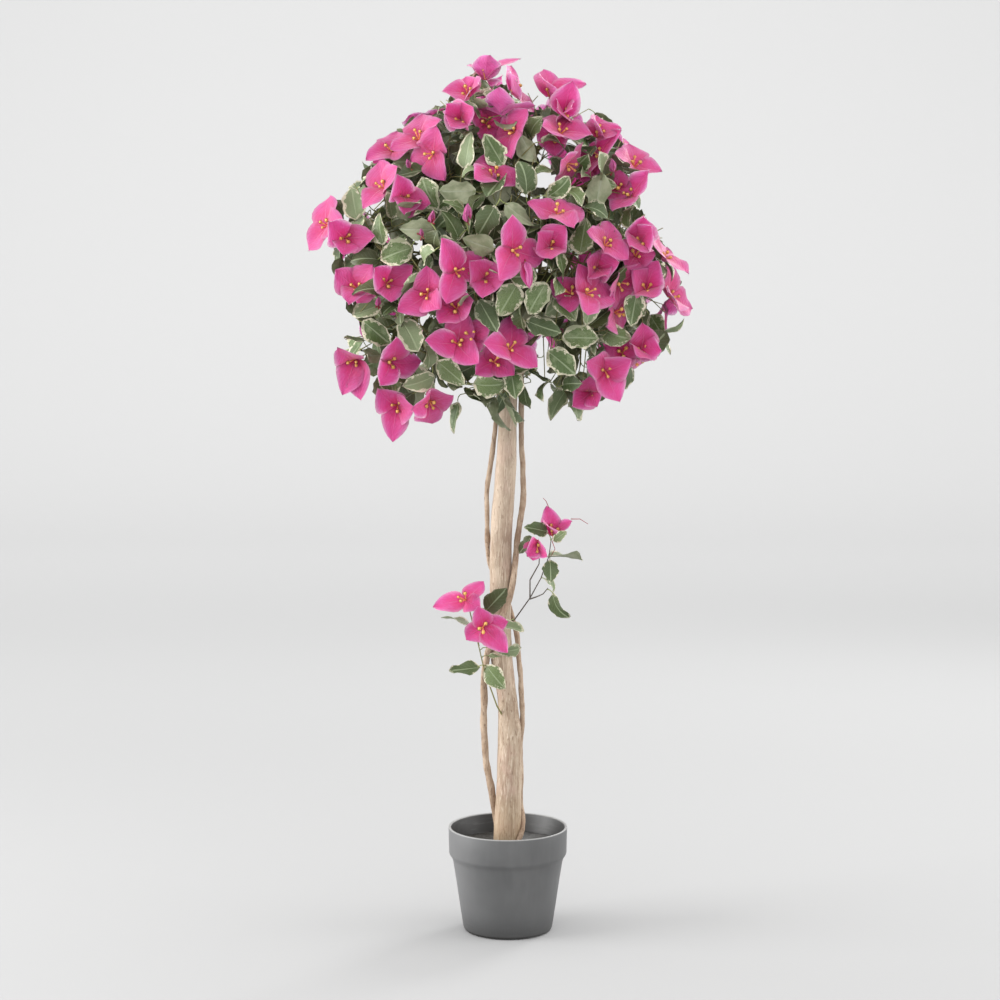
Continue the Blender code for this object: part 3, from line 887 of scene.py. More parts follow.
def under_surface(u, v, sink):
    """The place at a depth below the crown's near face that a sight line comes to."""
    ray = sight(u, v)
    best = (1, None)
    for step in np.arange(-0.29, 0.10, 0.003).tolist():
        place = EYE + (EYE.length - 0.13 + step) * ray
        out = place - CROWN
        if out.length < 0.30:
            over = out.length - crown_reach(out.normalized()) + sink
            if over <= 0:
                return place
            best = min(best, (over, place), key=lambda pair: pair[0])
    return best[1]


# ---------------------------------------------------------------------------------------------
# Blossoms. Three broad papery bracts, folded softly on the mid-vein, stand round three slim
# stalks with small yellow heads: magenta, deeper at the heart and paler at the margins.

BRACT_ACROSS, BRACT_ALONG = 6, 8
BRACT_LENGTHS = (0.037, 0.042)
FRONT = (  # heart in mm, bearing and elevation it faces, and its bracts' tips from the heart in mm
    ((-106, -95, 992), (-56, 58), (3, 35, 32), (28, -30, 24), (-34, -16, -11)),
    ((-88, -115, 977), (-48, -7), (2, -18, 32), (13, -20, -32), (-28, 23, -9)),
    ((-55, -128, 1015), (-11, 17), (-18, -25, 19), (14, -33, 17), (-14, -36, -7)),
    ((-47, -101, 1043), (-48, 63), (-4, 21, 25), (-32, -12, 6), (13, -27, 15)),
    ((-28, -25, 1065), (127, 77), (-18, 24, 20), (6, -30, 29), (44, 17, 25)),
    ((-9, -132, 1022), (170, 65), (-2, -26, 32), (41, 19, 11), (-26, 30, 6)),
    ((3, -65, 1051), (87, 27), (0, 26, 31), (28, 10, -26), (6, -37, 13)),
    ((7, -132, 1001), (-60, 21), (15, -12, 28), (-4, -24, -30), (-22, 30, -3)),
    ((49, -77, 1044), (61, 73), (-7, 29, 33), (44, -6, 15), (-14, -33, 25)),
    ((66, -107, 1020), (5, 34), (9, -19, 42), (-9, -35, 10), (9, -35, 10)),
    ((61, -131, 999), (40, 67), (-6, 30, 23), (38, -10, -1), (-22, -31, 9)),
    ((105, -100, 996), (59, 66), (1, 19, 26), (29, -8, 11), (-7, -25, 21)),
    ((110, -106, 973), (-69, 40), (-18, -23, -21), (23, -18, 32), (-12, 36, 13)),
    ((67, -141, 966), (76, -35), (21, 19, 24), (-16, 18, -28), (-6, -37, 5)),
    ((150, -74, 959), (43, 64), (34, -14, -3), (-5, 30, 29), (-25, -29, 16)),
    ((-125, -145, 925), (23, 3), (-4, -30, 28), (34, -17, -7), (4, -33, -19)),
    ((-147, -117, 935), (-63, 36), (-8, 32, 33), (-25, -12, -24), (18, -31, 27)),
    ((-216, -82, 890), (-62, 27), (1, 28, 36), (-24, 5, -30), (20, -36, 9)),
    ((-194, -121, 877), (11, 3), (-17, -30, 21), (37, -23, 3), (-1, -30, -19)),
    ((-139, -66, 978), (-37, 60), (5, 31, 25), (-32, -13, -9), (29, -27, 7)),
    ((-18, -156, 949), (27, 57), (-8, 26, 27), (-22, -32, -1), (38, -7, -4)),
    ((56, -182, 906), (40, 62), (-34, -1, 15), (30, 30, 8), (20, -35, -14)),
    ((4, -204, 866), (42, -3), (0, -18, 42), (38, 20, -11), (-15, -27, -34)),
    ((48, -181, 868), (2, 19), (17, -25, 27), (-15, -29, 18), (1, -38, -13)),
    ((112, -164, 869), (54, 46), (5, 28, 29), (-21, -29, 19), (28, -13, -16)),
    ((147, -110, 925), (-68, 44), (20, -15, 33), (-24, -27, -16), (-19, 33, 13)),
    ((157, -138, 872), (-2, 27), (2, -23, 32), (-15, -38, -3), (12, -32, 21)),
    ((183, -110, 851), (82, 46), (-17, -23, 29), (7, 37, 13), (31, -17, -17)),
    ((-179, -119, 816), (-22, 32), (-27, -1, 24), (18, -18, 31), (-10, -35, -16)),
    ((-145, -143, 824), (20, 15), (33, -13, 22), (8, -32, -20), (-13, -30, 20)),
    ((-183, -106, 733), (-29, -37), (-20, -38, 15), (-16, -5, -44), (7, -10, -50)),
    ((-143, -131, 731), (46, -9), (10, -25, 31), (39, 16, 0), (-10, -23, -27)),
    ((-60, -174, 796), (-17, 20), (-21, -28, -15), (20, -31, 11), (-21, -11, 31)),
    ((-60, -171, 755), (-1, 25), (7, -1, 42), (-38, -18, 5), (26, -29, -21)),
    ((1, -175, 748), (32, 41), (2, 24, 40), (-31, -30, 9), (33, -14, -20)),
    ((90, -174, 814), (52, 20), (-9, -7, 36), (36, 21, -10), (1, -34, -24)),
    ((104, -155, 842), (12, 9), (25, -30, 10), (11, -35, -7), (-14, -36, 13)),
    ((164, -125, 815), (2, 32), (-17, -25, 26), (13, -18, 37), (6, -41, -7)),
    ((194, -69, 804), (74, 20), (-1, 2, 48), (30, 29, -16), (10, -41, -14)),
    ((129, -135, 826), (61, -32), (5, 21, -34), (-10, -38, -8), (33, 1, 22)),
    ((126, -119, 789), (70, -8), (-10, -33, -14), (12, 28, -20), (11, 0, 36)),
    ((158, -105, 742), (19, 18), (2, -22, 35), (25, -22, 2), (-2, -38, -7)),
    ((115, -133, 720), (19, -4), (-23, -33, 13), (31, -17, 15), (17, -19, -36)),
    ((101, -97, 693), (-15, -7), (-5, -34, 21), (-25, -25, -16), (5, -34, -17)),
    ((-94, -176, 814), (-21, 1), (-1, -20, 34), (-36, -10, -20), (15, -30, -17)),
    ((-62, -200, 841), (37, 3), (-16, -18, 40), (38, 22, 14), (-10, -16, -37)),
    ((-29, -186, 833), (7, 5), (-1, -31, -22), (28, -25, 7), (-16, -29, 22)),
    ((-133, -93, 676), (-10, -14), (-6, -14, -44), (-23, -24, 22), (22, -30, 0)),
    ((-95, -127, 685), (34, -50), (30, -15, 7), (4, 20, -30), (-20, -28, -10)),
)
BEHIND = (  # half hidden ones: heart in the view, depth in mm, roll in degrees, bracts' length in mm
    (472, 338, 34, 90, 31), (494, 362, 34, 30, 30), (486, 124, 34, 80, 27), (571, 294, 32, 100, 29),
    (635, 256, 32, 60, 25), (622, 353, 32, 90, 27), (552, 140, 32, 90, 23), (368, 288, 36, 60, 24),
    (618, 190, 34, 30, 24), (588, 166, 34, 80, 24),
)
FRONT_BREADTH, BEHIND_BREADTH, OTHER_BREADTH, SHOOT_BREADTH = 0.0405, 0.033, 0.040, 0.031
BUDS = (  # place in the view and depth, and the tip of its closed bracts from there, in mm
    (467, 222, 24, (1, -6, 22)),
    (431, 223, 22, (3, -6, 15)),
    (526, 262, 20, (4, -10, -30)),
    (613, 172, 26, (-2, -8, 16)),
    (378, 306, 24, (1, -8, 12)),
    (494, 181, 30, (0, -8, 10)),
    (409, 168, 26, (-2, -8, 11)),
    (422, 236, 24, (-1, -8, 9)),
)
SHIFTS = (0, 5, -5, 10, -10, 15, 20, 26, 33, -16)  # tried in turn, in mm away from the eye
DEEPER = (0, 6, 12, 18, 25, 32)  # the same for the half hidden ones
BRACT_THICKNESS = 0.0004
BLOSSOM_SPAN = 0.085
FLOWER_SPAN = 0.0056  # from a blossom's middle to each of its flower heads


def sheet(across, along):
    """A sheet's places across (-1 to 1) and along (0 to 1), its faces on both sides and its chart."""
    s, t = np.meshgrid(np.linspace(-1, 1, across + 1), np.linspace(0, 1, along + 1))
    corner = np.arange(across)[None, :] + (across + 1) * np.arange(along)[:, None]
    ring = [corner, corner + across + 1, corner + across + 2, corner + 1]
    above = np.stack(ring, axis=-1).reshape(-1, 4)
    chart = np.stack([0.5 + 0.46 * s, 0.04 + 0.92 * t], axis=-1).reshape(-1, 2)
    return s, t, np.vstack([above, above[:, [0, 3, 2, 1]] + s.size]), chart


bract_s, bract_t, bract_faces, bract_map = sheet(BRACT_ACROSS, BRACT_ALONG)
bracts, hearts, stalks = Gathering(), Gathering(), Gathering()


def mm(values):
    """A vector given in millimetres."""
    return 0.001 * Vector(values)


def any_way(dice):
    """A vector of three random numbers between -1 and 1."""
    return Vector([dice.uniform(-1, 1) for _ in range(3)])


def spun(vector, degrees, axis):
    """A vector turned about an axis."""
    return Matrix.Rotation(math.radians(degrees), 3, axis) @ vector


def bract(dice, length, breadth):
    """A bract from its foot along +X to its tip, hollowed about +Z, with its underside."""
    s, t = bract_s, bract_t
    width = 1.22 * (0.010 + t) ** 0.56 * (1.0001 - t) ** 0.90
    width = width * (1 + 0.08 * np.sin(6 * t + dice.uniform(0, 6)) * np.sign(s))
    arch = dice.uniform(0.03, 0.13) * np.sin(math.pi * t**0.8)
    arch = arch - dice.uniform(0, 0.07) * np.sin(math.pi * t) * t
    fold = dice.uniform(0.10, 0.40)
    hump = fold * np.abs(s) * width - 0.35 * fold * s**2 * width
    wave = 0.050 * np.sin(dice.uniform(6, 11) * t + dice.uniform(0, 6) + 1.4 * s) * s**2
    bent = dice.uniform(-0.06, 0.06) * np.sin(math.pi * t)
    y, z = breadth * (s * width + bent), breadth * (arch + hump + wave)
    points = np.stack([length * t, y, z], axis=-1)
    below = points - BRACT_THICKNESS * (1 - s**2)[:, :, None] * np.array([0, 0, 1])
    return np.vstack([points.reshape(-1, 3), below.reshape(-1, 3)])


def bract_chart(dice):
    """Its place in the chart: one of two patterns, and over it the underside's."""
    column = dice.randrange(2)
    return np.vstack([bract_map + np.array([column, row]) for row in (0, 1)]) / 2


def kite(heart, tip, breadth, facing):
    """The corners of a bract's room."""
    beside = 0.36 * breadth * tip.cross(facing).normalized()
    middle = heart + 0.5 * tip
    return [heart + 0.08 * tip, middle - beside, heart + 0.94 * tip, middle + beside]


BALL = (  # the middle of each of a cube's sides, drawn out to a ball, and the side's corners
    ((0, 0, 1), (1, 5, 7, 3)),
    ((1, 0, 0), (4, 6, 7, 5)),
    ((0, 1, 0), (2, 3, 7, 6)),
    ((-1, 0, 0), (0, 1, 3, 2)),
    ((0, -1, 0), (0, 4, 5, 1)),
    ((0, 0, -1), (0, 2, 6, 4)),
)


def bead(gathering, centre, size):
    """A small rounded head."""
    corners = np.array([(x, y, z) for x in (-1, 1) for y in (-1, 1) for z in (-1, 1)])
    ball = np.vstack([corners / math.sqrt(3), [middle for middle, _ in BALL]])
    faces = []
    for middle, (_, (a, b, c, d)) in enumerate(BALL, 8):
        faces += [(a, b, c, middle), (c, d, a, middle)]
    gathering.add(ball * size + np.array(centre), np.array(faces), 0.5 + 0.4 * ball[:, :2])


def blossom(dice, heart, facing, tips, breadth):
    """A blossom whose bracts reach from its heart to their tips, if it has room."""
    kites = [corner for tip in tips for corner in kite(heart, tip, breadth, facing)]
    faces = [tuple(range(first, first + 4)) for first in range(0, len(kites), 4)]
    if not room.take(kites, faces, BLOSSOM_SPAN):
        return False
    side = 0.008 * facing.orthogonal().normalized()
    over, across = heart + 0.009 * facing, side.cross(facing)
    room.take([over + side, over + across, over - side, over - across], [(0, 1, 2, 3)])
    for index, tip in enumerate(tips):
        turn, place = turned_to(heart, tip, facing)
        made = bract(dice, tip.length, breadth * dice.uniform(0.92, 1.04))
        made[:, 2] += 0.0005 * index
        bracts.add(made @ turn.T + place, bract_faces, bract_chart(dice))
    turn, place = turned_to(heart, facing.orthogonal(), facing)
    for index in range(3):
        aim = math.radians(120 * index + 60 + dice.uniform(-25, 25))
        x, y = FLOWER_SPAN * math.cos(aim), FLOWER_SPAN * math.sin(aim)
        head = Vector((x, y, dice.uniform(0.009, 0.014)))
        path = [Vector(turn @ np.array(share * head) + place) for share in (0.05, 0.5, 1.0)]
        rod(stalks, path, (0.0008, 0.0013))
        bead(hearts, path[-1], dice.uniform(0.0021, 0.0030))
    return True


def openness(facing):
    """How much a blossom on the near side is turned on to the eye: less, if it stands side on."""
    return 0.6 * max(0, min(1, 2.2 * (0.12 - facing.dot(AHEAD))))


def settle(dice, place, facing, tips, breadth):
    """A blossom as near its measured place as it has room. Gives the place of its heart."""
    for shift in SHIFTS:
        heart = mm(place) + 0.001 * shift * (mm(place) - EYE).normalized()
        if blossom(dice, heart, facing, [mm(tip) for tip in tips], breadth):
            return heart


for index, (place, (bearing, elevation), *tips) in enumerate(FRONT):
    facing = outward(bearing, elevation)
    facing = (facing - openness(facing) * AHEAD).normalized()
    heart = settle(random.Random(500 + index), place, facing, tips, FRONT_BREADTH)
    side_twig(heart - 0.0005 * facing)

for index, (u, v, sink, roll, long) in enumerate(BEHIND):
    dice = random.Random(700 + index)
    facing = (-AHEAD + 0.2 * UP + 0.25 * any_way(dice)).normalized()
    across = facing.cross(UP).normalized()
    tips = []
    for third in range(3):
        flat = spun(across, roll + 120 * third + dice.uniform(-12, 12), facing)
        tips.append(0.001 * long * (0.94 * flat + 0.34 * facing))
    for deeper in DEEPER:
        heart = under_surface(u, v, 0.001 * (sink + deeper))
        if blossom(dice, heart, facing, tips, BEHIND_BREADTH):
            side_twig(heart - 0.0005 * facing)
            break

for number, (_, bearing, _, _, flowers) in enumerate(MASSES):
    if abs(bearing) < 88:
        continue
    dice = random.Random(number)
    middle = directions[number]
    for flower in range(flowers + 1):
        sway = SPREAD * math.sqrt((flower + 0.6) / (flowers + 1))
        out = Matrix.Rotation(sway, 3, middle.orthogonal()) @ middle
        out = spun(out, 137.5 * flower + 40 * number, middle)
        for attempt in range(10):
            tried = (out + 0.03 * attempt * any_way(dice)).normalized()
            heart = CROWN + (crown_reach(tried) - dice.uniform(0.018, 0.032)) * tried
            facing = (tried + 0.45 * any_way(dice) + 0.15 * UP).normalized()
            lean, roll = math.radians(dice.choice((8, 18, 28, 45))), dice.uniform(0, 120)
            across = facing.orthogonal().normalized()
            tips = []
            for third in range(3):
                flat = spun(across, roll + 120 * third + dice.uniform(-9, 9), facing)
                way = math.cos(lean) * flat + math.sin(lean) * facing
                tips.append(dice.uniform(*BRACT_LENGTHS) * way)
            if in_opening([heart + share * tip for tip in tips for share in (0.5, 1.0)]):
                continue
            if blossom(dice, heart, facing, tips, OTHER_BREADTH):
                side_twig(heart - 0.0005 * facing)
                break

crimson = Gathering()
for index, (u, v, sink, tip) in enumerate(BUDS):
    dice = random.Random(300 + index)
    foot = under_surface(u, v, 0.001 * sink)
    side_twig(foot)
    tip = mm(tip)
    for turn in (0, 120, 240):
        spin, place = turned_to(foot, tip, -spun(tip.orthogonal(), turn, tip))
        made = bract(dice, tip.length, 0.55 * tip.length)
        made[:, 2] -= 0.10 * tip.length * np.sin(math.pi * np.tile(bract_t.ravel(), 2))
        bracts.add(made @ spin.T + place, bract_faces, bract_chart(dice))
    for _ in range(3):
        aside = foot + 0.005 * any_way(dice)
        rod(crimson, [foot, foot.lerp(aside, 0.5), aside], (0.0005, 0.0010))
        bead(crimson, aside, 0.0014)

papery = Finish(
    "papery_bract", Roughness=0.6, Specular_IOR_Level=0.3, Sheen_Weight=0.3,
    Subsurface_Weight=0.4, Subsurface_Radius=(1.0, 0.35, 0.6), Subsurface_Scale=0.004,
)
doubled = papery.vector("SCALE", papery.chart(), {"Scale": 2})
across = papery.axis(papery.vector("FRACTION", doubled), "X")
along = across.part("Y")
below = papery.axis(papery.vector("FLOOR", doubled), "Y")
aside = abs(across - 0.5) * 2
clouds = papery.cloud(doubled, 3.2, 4)
veins = papery.node(
    "ShaderNodeTexWave",
    {"wave_type": "BANDS", "bands_direction": "DIAGONAL", "wave_profile": "SIN"},
    {"Vector": doubled, "Scale": 5.0, "Distortion": 5.0, "Detail": 2, "Detail Scale": 1.2},
)
mid_vein = papery.rise(aside, 0.05, 0.0) * papery.rise(along, 0.95, 0.3)
pink = papery.layered(
    (0.465, 0.014, 0.090),
    ((0.500, 0.043, 0.186), along, 0.0, 0.75),
    ((0.520, 0.104, 0.302), aside + along * 0.3, 0.65, 1.2, 0.75),
    ((0.515, 0.080, 0.262), clouds, 0.45, 0.7, 0.5),
    ((0.420, 0.016, 0.114), clouds, 0.45, 0.25, 0.4),
    ((0.420, 0.025, 0.140), veins, 0.7, 1.0, 0.30),
    ((0.600, 0.150, 0.310), mid_vein * 0.4),
)
lilac = papery.layered(
    (0.540, 0.075, 0.260),
    ((0.600, 0.135, 0.345), clouds, 0.35, 0.65),
    ((0.480, 0.060, 0.210), veins, 0.7, 1.0, 0.3),
)
papery.coat(Base_Color=papery.blend(below, pink, lilac))
papery.bump(veins * 0.4 + clouds * 0.5 + mid_vein, 0.0006, 0.6)


def speckled(name, roughness, specular, specks, span, tones, relief):
    """A finish of two tones, speckled all over the piece's own map."""
    finish = Finish(name, Roughness=roughness, Specular_IOR_Level=specular)
    specks = finish.cloud(finish.chart(), *specks)
    finish.coat(Base_Color=finish.layered(tones[0], (tones[1], specks, *span)))
    finish.bump(specks, *relief)
    return finish


yellow, coral, wine = (
    speckled(name, 0.6, 0.5, (9, 3, 0.65), (0.40, 0.66), tones, (0.0004, 0.6))
    for name, tones in (
        ("yellow_flower", ((0.960, 0.600, 0.200), (0.820, 0.360, 0.070))),
        ("coral_stalk", ((0.850, 0.380, 0.150), (0.700, 0.200, 0.100))),
        ("wine_bud", ((0.400, 0.045, 0.065), (0.240, 0.018, 0.028))),
    )
)


# ---------------------------------------------------------------------------------------------
# Leaves. Ovate cloth leaves of a variegated kind: grey-green, with a broken cream margin and a
# pale midrib, plain and paler below, on short petioles along every twig.

LEAF_ACROSS, LEAF_ALONG = 4, 8
LEAF_DESIGNS = 14
LEAF_LENGTHS = (0.035, 0.046)
RUNNERS = 80
TUFTS = 260
FRONT_LEAVES = (  # middle in the view, turn of the tip in degrees, length and breadth seen, kind
    (508, 300, 120, 40, 27, 0), (492, 384, 0, 40, 27, 0), (581, 338, 0, 40, 27, 0),
    (486, 222, 120, 40, 27, 2), (558, 405, 120, 40, 27, 1), (451, 373, 40, 40, 27, 0),
    (523, 176, 260, 40, 27, 2), (537, 299, 120, 40, 27, 0), (457, 191, 180, 40, 27, 0),
    (600, 190, 280, 40, 27, 2), (410, 336, 60, 40, 27, 1), (450, 224, 240, 40, 27, 2),
    (468, 150, 280, 40, 27, 1), (377, 333, 40, 40, 27, 0), (562, 363, 40, 40, 27, 0),
    (417, 229, 180, 40, 27, 2), (410, 162, 180, 40, 27, 1), (499, 187, 280, 40, 27, 0),
    (488, 316, 60, 40, 27, 2), (417, 382, 160, 40, 27, 1), (616, 334, 20, 40, 27, 0),
    (583, 236, 280, 40, 27, 0), (544, 327, 20, 40, 27, 2), (634, 309, 100, 40, 27, 0),
    (395, 254, 160, 40, 27, 0), (494, 150, 240, 40, 27, 0), (381, 228, 260, 36, 25, 0),
    (429, 192, 240, 40, 27, 0), (456, 418, 100, 34, 17, 0), (520, 215, 40, 40, 27, 2),
    (354, 203, 260, 36, 25, 1), (367, 310, 160, 34, 17, 1), (478, 244, 200, 36, 25, 1),
    (566, 310, 40, 36, 25, 0), (561, 267, 80, 34, 17, 0), (657, 326, 60, 28, 22, 0),
    (528, 148, 240, 34, 17, 0), (364, 260, 180, 34, 17, 3), (560, 186, 320, 34, 17, 0),
    (631, 216, 280, 28, 15, 0), (513, 384, 80, 34, 17, 0), (597, 213, 20, 34, 17, 2),
    (474, 396, 40, 28, 15, 0), (427, 358, 80, 28, 15, 1), (373, 355, 180, 20, 16, 1),
    (443, 121, 240, 34, 17, 2), (599, 318, 320, 28, 15, 3), (390, 205, 260, 28, 15, 1),
    (472, 172, 160, 28, 15, 1), (469, 296, 140, 28, 15, 0), (354, 339, 180, 20, 16, 1),
    (543, 224, 240, 20, 16, 0), (539, 375, 40, 26, 10, 2), (536, 126, 300, 26, 10, 0),
    (478, 201, 300, 26, 10, 3), (617, 275, 320, 28, 15, 3), (389, 309, 140, 20, 16, 2),
    (522, 277, 180, 32, 24, 0), (545, 391, 120, 26, 10, 0), (662, 346, 40, 26, 10, 1),
    (436, 241, 100, 20, 16, 3), (572, 384, 0, 20, 16, 2), (468, 108, 220, 34, 17, 1),
    (411, 285, 140, 26, 10, 0), (522, 319, 80, 26, 10, 2), (638, 350, 60, 26, 10, 1),
    (579, 163, 320, 28, 15, 0), (428, 258, 140, 20, 16, 1), (554, 144, 0, 26, 10, 0),
    (336, 213, 220, 20, 16, 1), (555, 285, 80, 26, 10, 0), (575, 197, 40, 26, 10, 0),
    (360, 225, 120, 26, 10, 1), (674, 325, 340, 26, 10, 1), (505, 122, 180, 26, 10, 0),
    (576, 411, 80, 20, 16, 1), (527, 399, 80, 26, 10, 2), (545, 172, 340, 26, 10, 0),
    (467, 223, 260, 26, 10, 2), (614, 169, 20, 26, 10, 1), (398, 408, 100, 26, 10, 1),
    (496, 290, 120, 26, 10, 0), (598, 345, 120, 26, 10, 1), (590, 258, 100, 26, 10, 0),
    (454, 206, 200, 26, 10, 0), (482, 367, 20, 26, 10, 0), (426, 213, 180, 26, 10, 0),
    (559, 247, 0, 26, 10, 0), (518, 369, 180, 26, 10, 0),
)

leaf_s, leaf_t, leaf_faces, leaf_map = sheet(LEAF_ACROSS, LEAF_ALONG)


def leaf_design(dice):
    """A leaf of unit length along +X, facing +Z: two sides that share their margin."""
    s, t = leaf_s, leaf_t
    broad = dice.uniform(0.285, 0.365)
    width = broad * 2.42 * (0.004 + t) ** 0.52 * (1.0001 - t) ** 0.78
    notches = np.array([(dice.uniform(-0.20, 0.10), dice.uniform(-0.20, 0.10)) for _ in t])
    edge = np.abs(s) > 0.9
    width = width * (1 + edge * np.where(s < 0, notches[:, :1], notches[:, 1:]))
    arch, fold, twist = dice.uniform(-0.6, 1.5), dice.uniform(0.05, 0.75), dice.uniform(-1.4, 1.4)
    slope = -arch * (t - 0.35)
    run, lift = (
        np.vstack([np.zeros_like(s[0]), np.cumsum(way(slope[:-1]) * (1 / LEAF_ALONG), axis=0)])
        for way in (np.cos, np.sin)
    )
    aside = s * width
    rise = fold * np.abs(aside) - 0.4 * fold * s**2 * width
    rise += 0.050 * np.sin(8 * t + dice.uniform(0, 6) + 2 * s) * s**2 + twist * t * aside * 0.7
    top = np.stack([run, aside, lift + rise], axis=-1).reshape(-1, 3)
    thin = (0.008 * (1 - s**2)).reshape(-1)
    return np.vstack([top, top - thin[:, None] * np.array([0, 0, 1])])


leaf_designs = [leaf_design(random.Random(index)) for index in range(LEAF_DESIGNS)]
LEAF_ROOM = np.array([(0.02, 0, 0), (0.42, -0.32, 0.01), (0.97, 0, -0.05), (0.42, 0.32, 0.01)])
LEAF_HALVES = (  # places along the midrib and out from it, by which a leaf's outline is known
    (0.2, 0.25), (0.35, 0.33), (0.5, 0.33), (0.65, 0.28), (0.8, 0.2), (0.45, 0.17), (0.2, 0),
    (0.4, 0), (0.6, 0), (0.8, 0), (1, 0),
)
LEAF_EDGE = np.array([(x, side * y, 0) for x, y in LEAF_HALVES for side in (-1, 1)])
leaves, petioles = Gathering(), Gathering()


def leaf(dice, base, toward, facing, length, kind, breadth=1.0, air=True):
    """A leaf from its base, if it has room, keeps inside the crown and stops no opening."""
    spin, place = turned_to(base, toward, facing)
    size = length * np.array([1, breadth, 1])
    taken = (size * LEAF_ROOM) @ spin.T + place
    if air:
        out = taken - np.array(CROWN)
        reach = (out**2).sum(axis=1) ** 0.5
        if reach.max() > crown_reach(out[reach.argmax()] / reach.max()) + 0.004:
            return False
        if in_opening((size * LEAF_EDGE) @ spin.T + place):
            return False
    if not room.take(taken, [(0, 1, 2), (0, 2, 3)]):
        return False
    shape, faces = size * dice.choice(leaf_designs), leaf_faces
    if dice.random() < 0.5:
        shape, faces = shape * np.array([1, -1, 1]), faces[:, ::-1]
    chart = [leaf_map + np.array([kind, row]) for row in (dice.randrange(3), 3)]
    leaves.add(shape @ spin.T + place, faces, np.vstack(chart) / 4)
    return True


def petiole(root, along, base, toward):
    """A petiole from its twig into the leaf's base."""
    end = base + 0.003 * toward
    middle = root + 0.35 * (end - root).length * along + 0.2 * (end - root)
    rod(petioles, bend(root, middle, end, 4), (0.0007, 0.0006), 3)


def seen_leaf(dice, base, toward, length, wide, kind, loose=32):
    """A leaf turned about its midrib until the eye sees it so wide, or loosely so."""
    facing = -AHEAD + AHEAD.project(toward)
    across = toward.cross(facing).normalized()
    tilt = math.acos(min(1, wide / (0.70 * length))) + math.radians(dice.uniform(-loose, loose))
    if across.z < 0 and dice.random() < 0.8:
        tilt = -tilt
    facing = math.cos(tilt) * facing.normalized() + math.sin(tilt) * across
    if loose > 10 and dice.random() < 0.16:
        facing = -facing
    breadth = max(1, wide / (0.70 * length))
    if not leaf(dice, base, toward, facing, length, kind, breadth, air=False):
        return False
    deep = (base - CROWN).length
    apart = [(at - base).length + 0.8 * max(0, (at - CROWN).length - deep) for at, _ in perches]
    nearest = int(np.argmin(apart))
    if apart[nearest] > 0.026 and deep < 0.28:
        side_twig(base - 0.010 * toward + 0.006 * AHEAD)
        nearest = len(perches) - 2
    petiole(*perches[nearest], base, toward)
    return True


for index, (u, v, turn, long, wide, kind) in enumerate(FRONT_LEAVES):
    dice = random.Random(100 + index)
    turn = math.radians(turn)
    flat = math.cos(turn) * Vector((1, 0, 0)) - math.sin(turn) * ABOVE
    for sink in (26, 32, 38, 20, 44, 50, 57, 64, 72):
        middle = under_surface(u, v, 0.001 * sink)
        scale = (middle - EYE).length / LENS
        length = max(0.034, 0.93 * long * scale)
        steep = math.acos(min(1, 0.93 * long * scale / length)) * dice.choice((-1, 1, 1))
        toward = math.cos(steep) * flat - math.sin(steep) * AHEAD
        if seen_leaf(dice, middle - 0.5 * length * toward, toward, length, wide * scale, kind):
            break


def tuft_leaf(dice, root, along, tries=6):
    """A leaf that springs sideways from a twig, if one of a few turns has room."""
    out = (root - CROWN).normalized()
    length = dice.uniform(*LEAF_LENGTHS)
    # Painted shade: deep in the crown the dark kinds are dealt out more often, to stand for the shade
    # there.
    deep = crown_reach(out) - (root - CROWN).length > 0.055
    kind = dice.choices(range(4), (2, 2, 5, 6) if deep else (5, 4, 4, 3))[0]
    turn = dice.uniform(0, 360)
    for _ in range(tries):
        side = spun(along.orthogonal().normalized(), turn, along)
        facing = 0.8 * out + 0.5 * UP + 0.95 * any_way(dice)
        toward = 0.5 * along + side
        toward -= 0.75 * toward.project(facing)
        toward.normalize()
        base = root + dice.uniform(0.006, 0.012) * (toward + 0.3 * out).normalized()
        turn += 137
        if leaf(dice, base, toward, facing, length, kind):
            petiole(root, along, base, toward)
            return


for index in range(RUNNERS):
    dice = random.Random(6000 + index)
    u, v = 500 + dice.uniform(-150, 150), 245 + dice.uniform(-125, 130)
    away = Vector((u - 505, v - 400)).normalized()
    start = under_surface(u, v, dice.uniform(0.045, 0.075))
    far = dice.uniform(35, 75)
    u, v = u + far * (away.x + dice.uniform(-0.4, 0.4)), v + far * away.y
    end = under_surface(u, v, dice.uniform(0.022, 0.045))
    run = bend(start, start.lerp(end, 0.5) + 0.006 * any_way(dice), end, 6)
    if (end - CROWN).length < 0.27 and not in_opening(run):
        nearest = min(perches, key=lambda pair: (pair[0] - start).length)[0]
        twig([nearest, *run], (0.0010, 0.0005))


golden = math.pi * (3 - math.sqrt(5))
for index in range(TUFTS):
    dice = random.Random(9000 + index)
    lift = 1 - 2 * (index + 0.5) / TUFTS
    if lift < -0.92:
        continue
    turn = golden * index
    flat = math.sqrt(1 - lift * lift)
    out = Vector((flat * math.cos(turn), flat * math.sin(turn), lift))
    depth = dice.uniform(0.050, 0.085) if out.y < -0.45 else dice.uniform(0.022, 0.060)
    end = CROWN + (crown_reach(out) - depth) * out
    path = side_twig(end, (0.0010, 0.0006), 5)
    for share in (1.0, 0.88, 0.72, 0.55):
        root, along = on_stem(path, share)
        if share == 1.0:
            along = (along + 0.8 * any_way(dice)).normalized()
        tuft_leaf(dice, root, along)
for index, path in enumerate(stems):
    dice = random.Random(8000 + index)
    for share in np.linspace(0.2, 1.0, 6).tolist():
        tuft_leaf(dice, *on_stem(path, share))

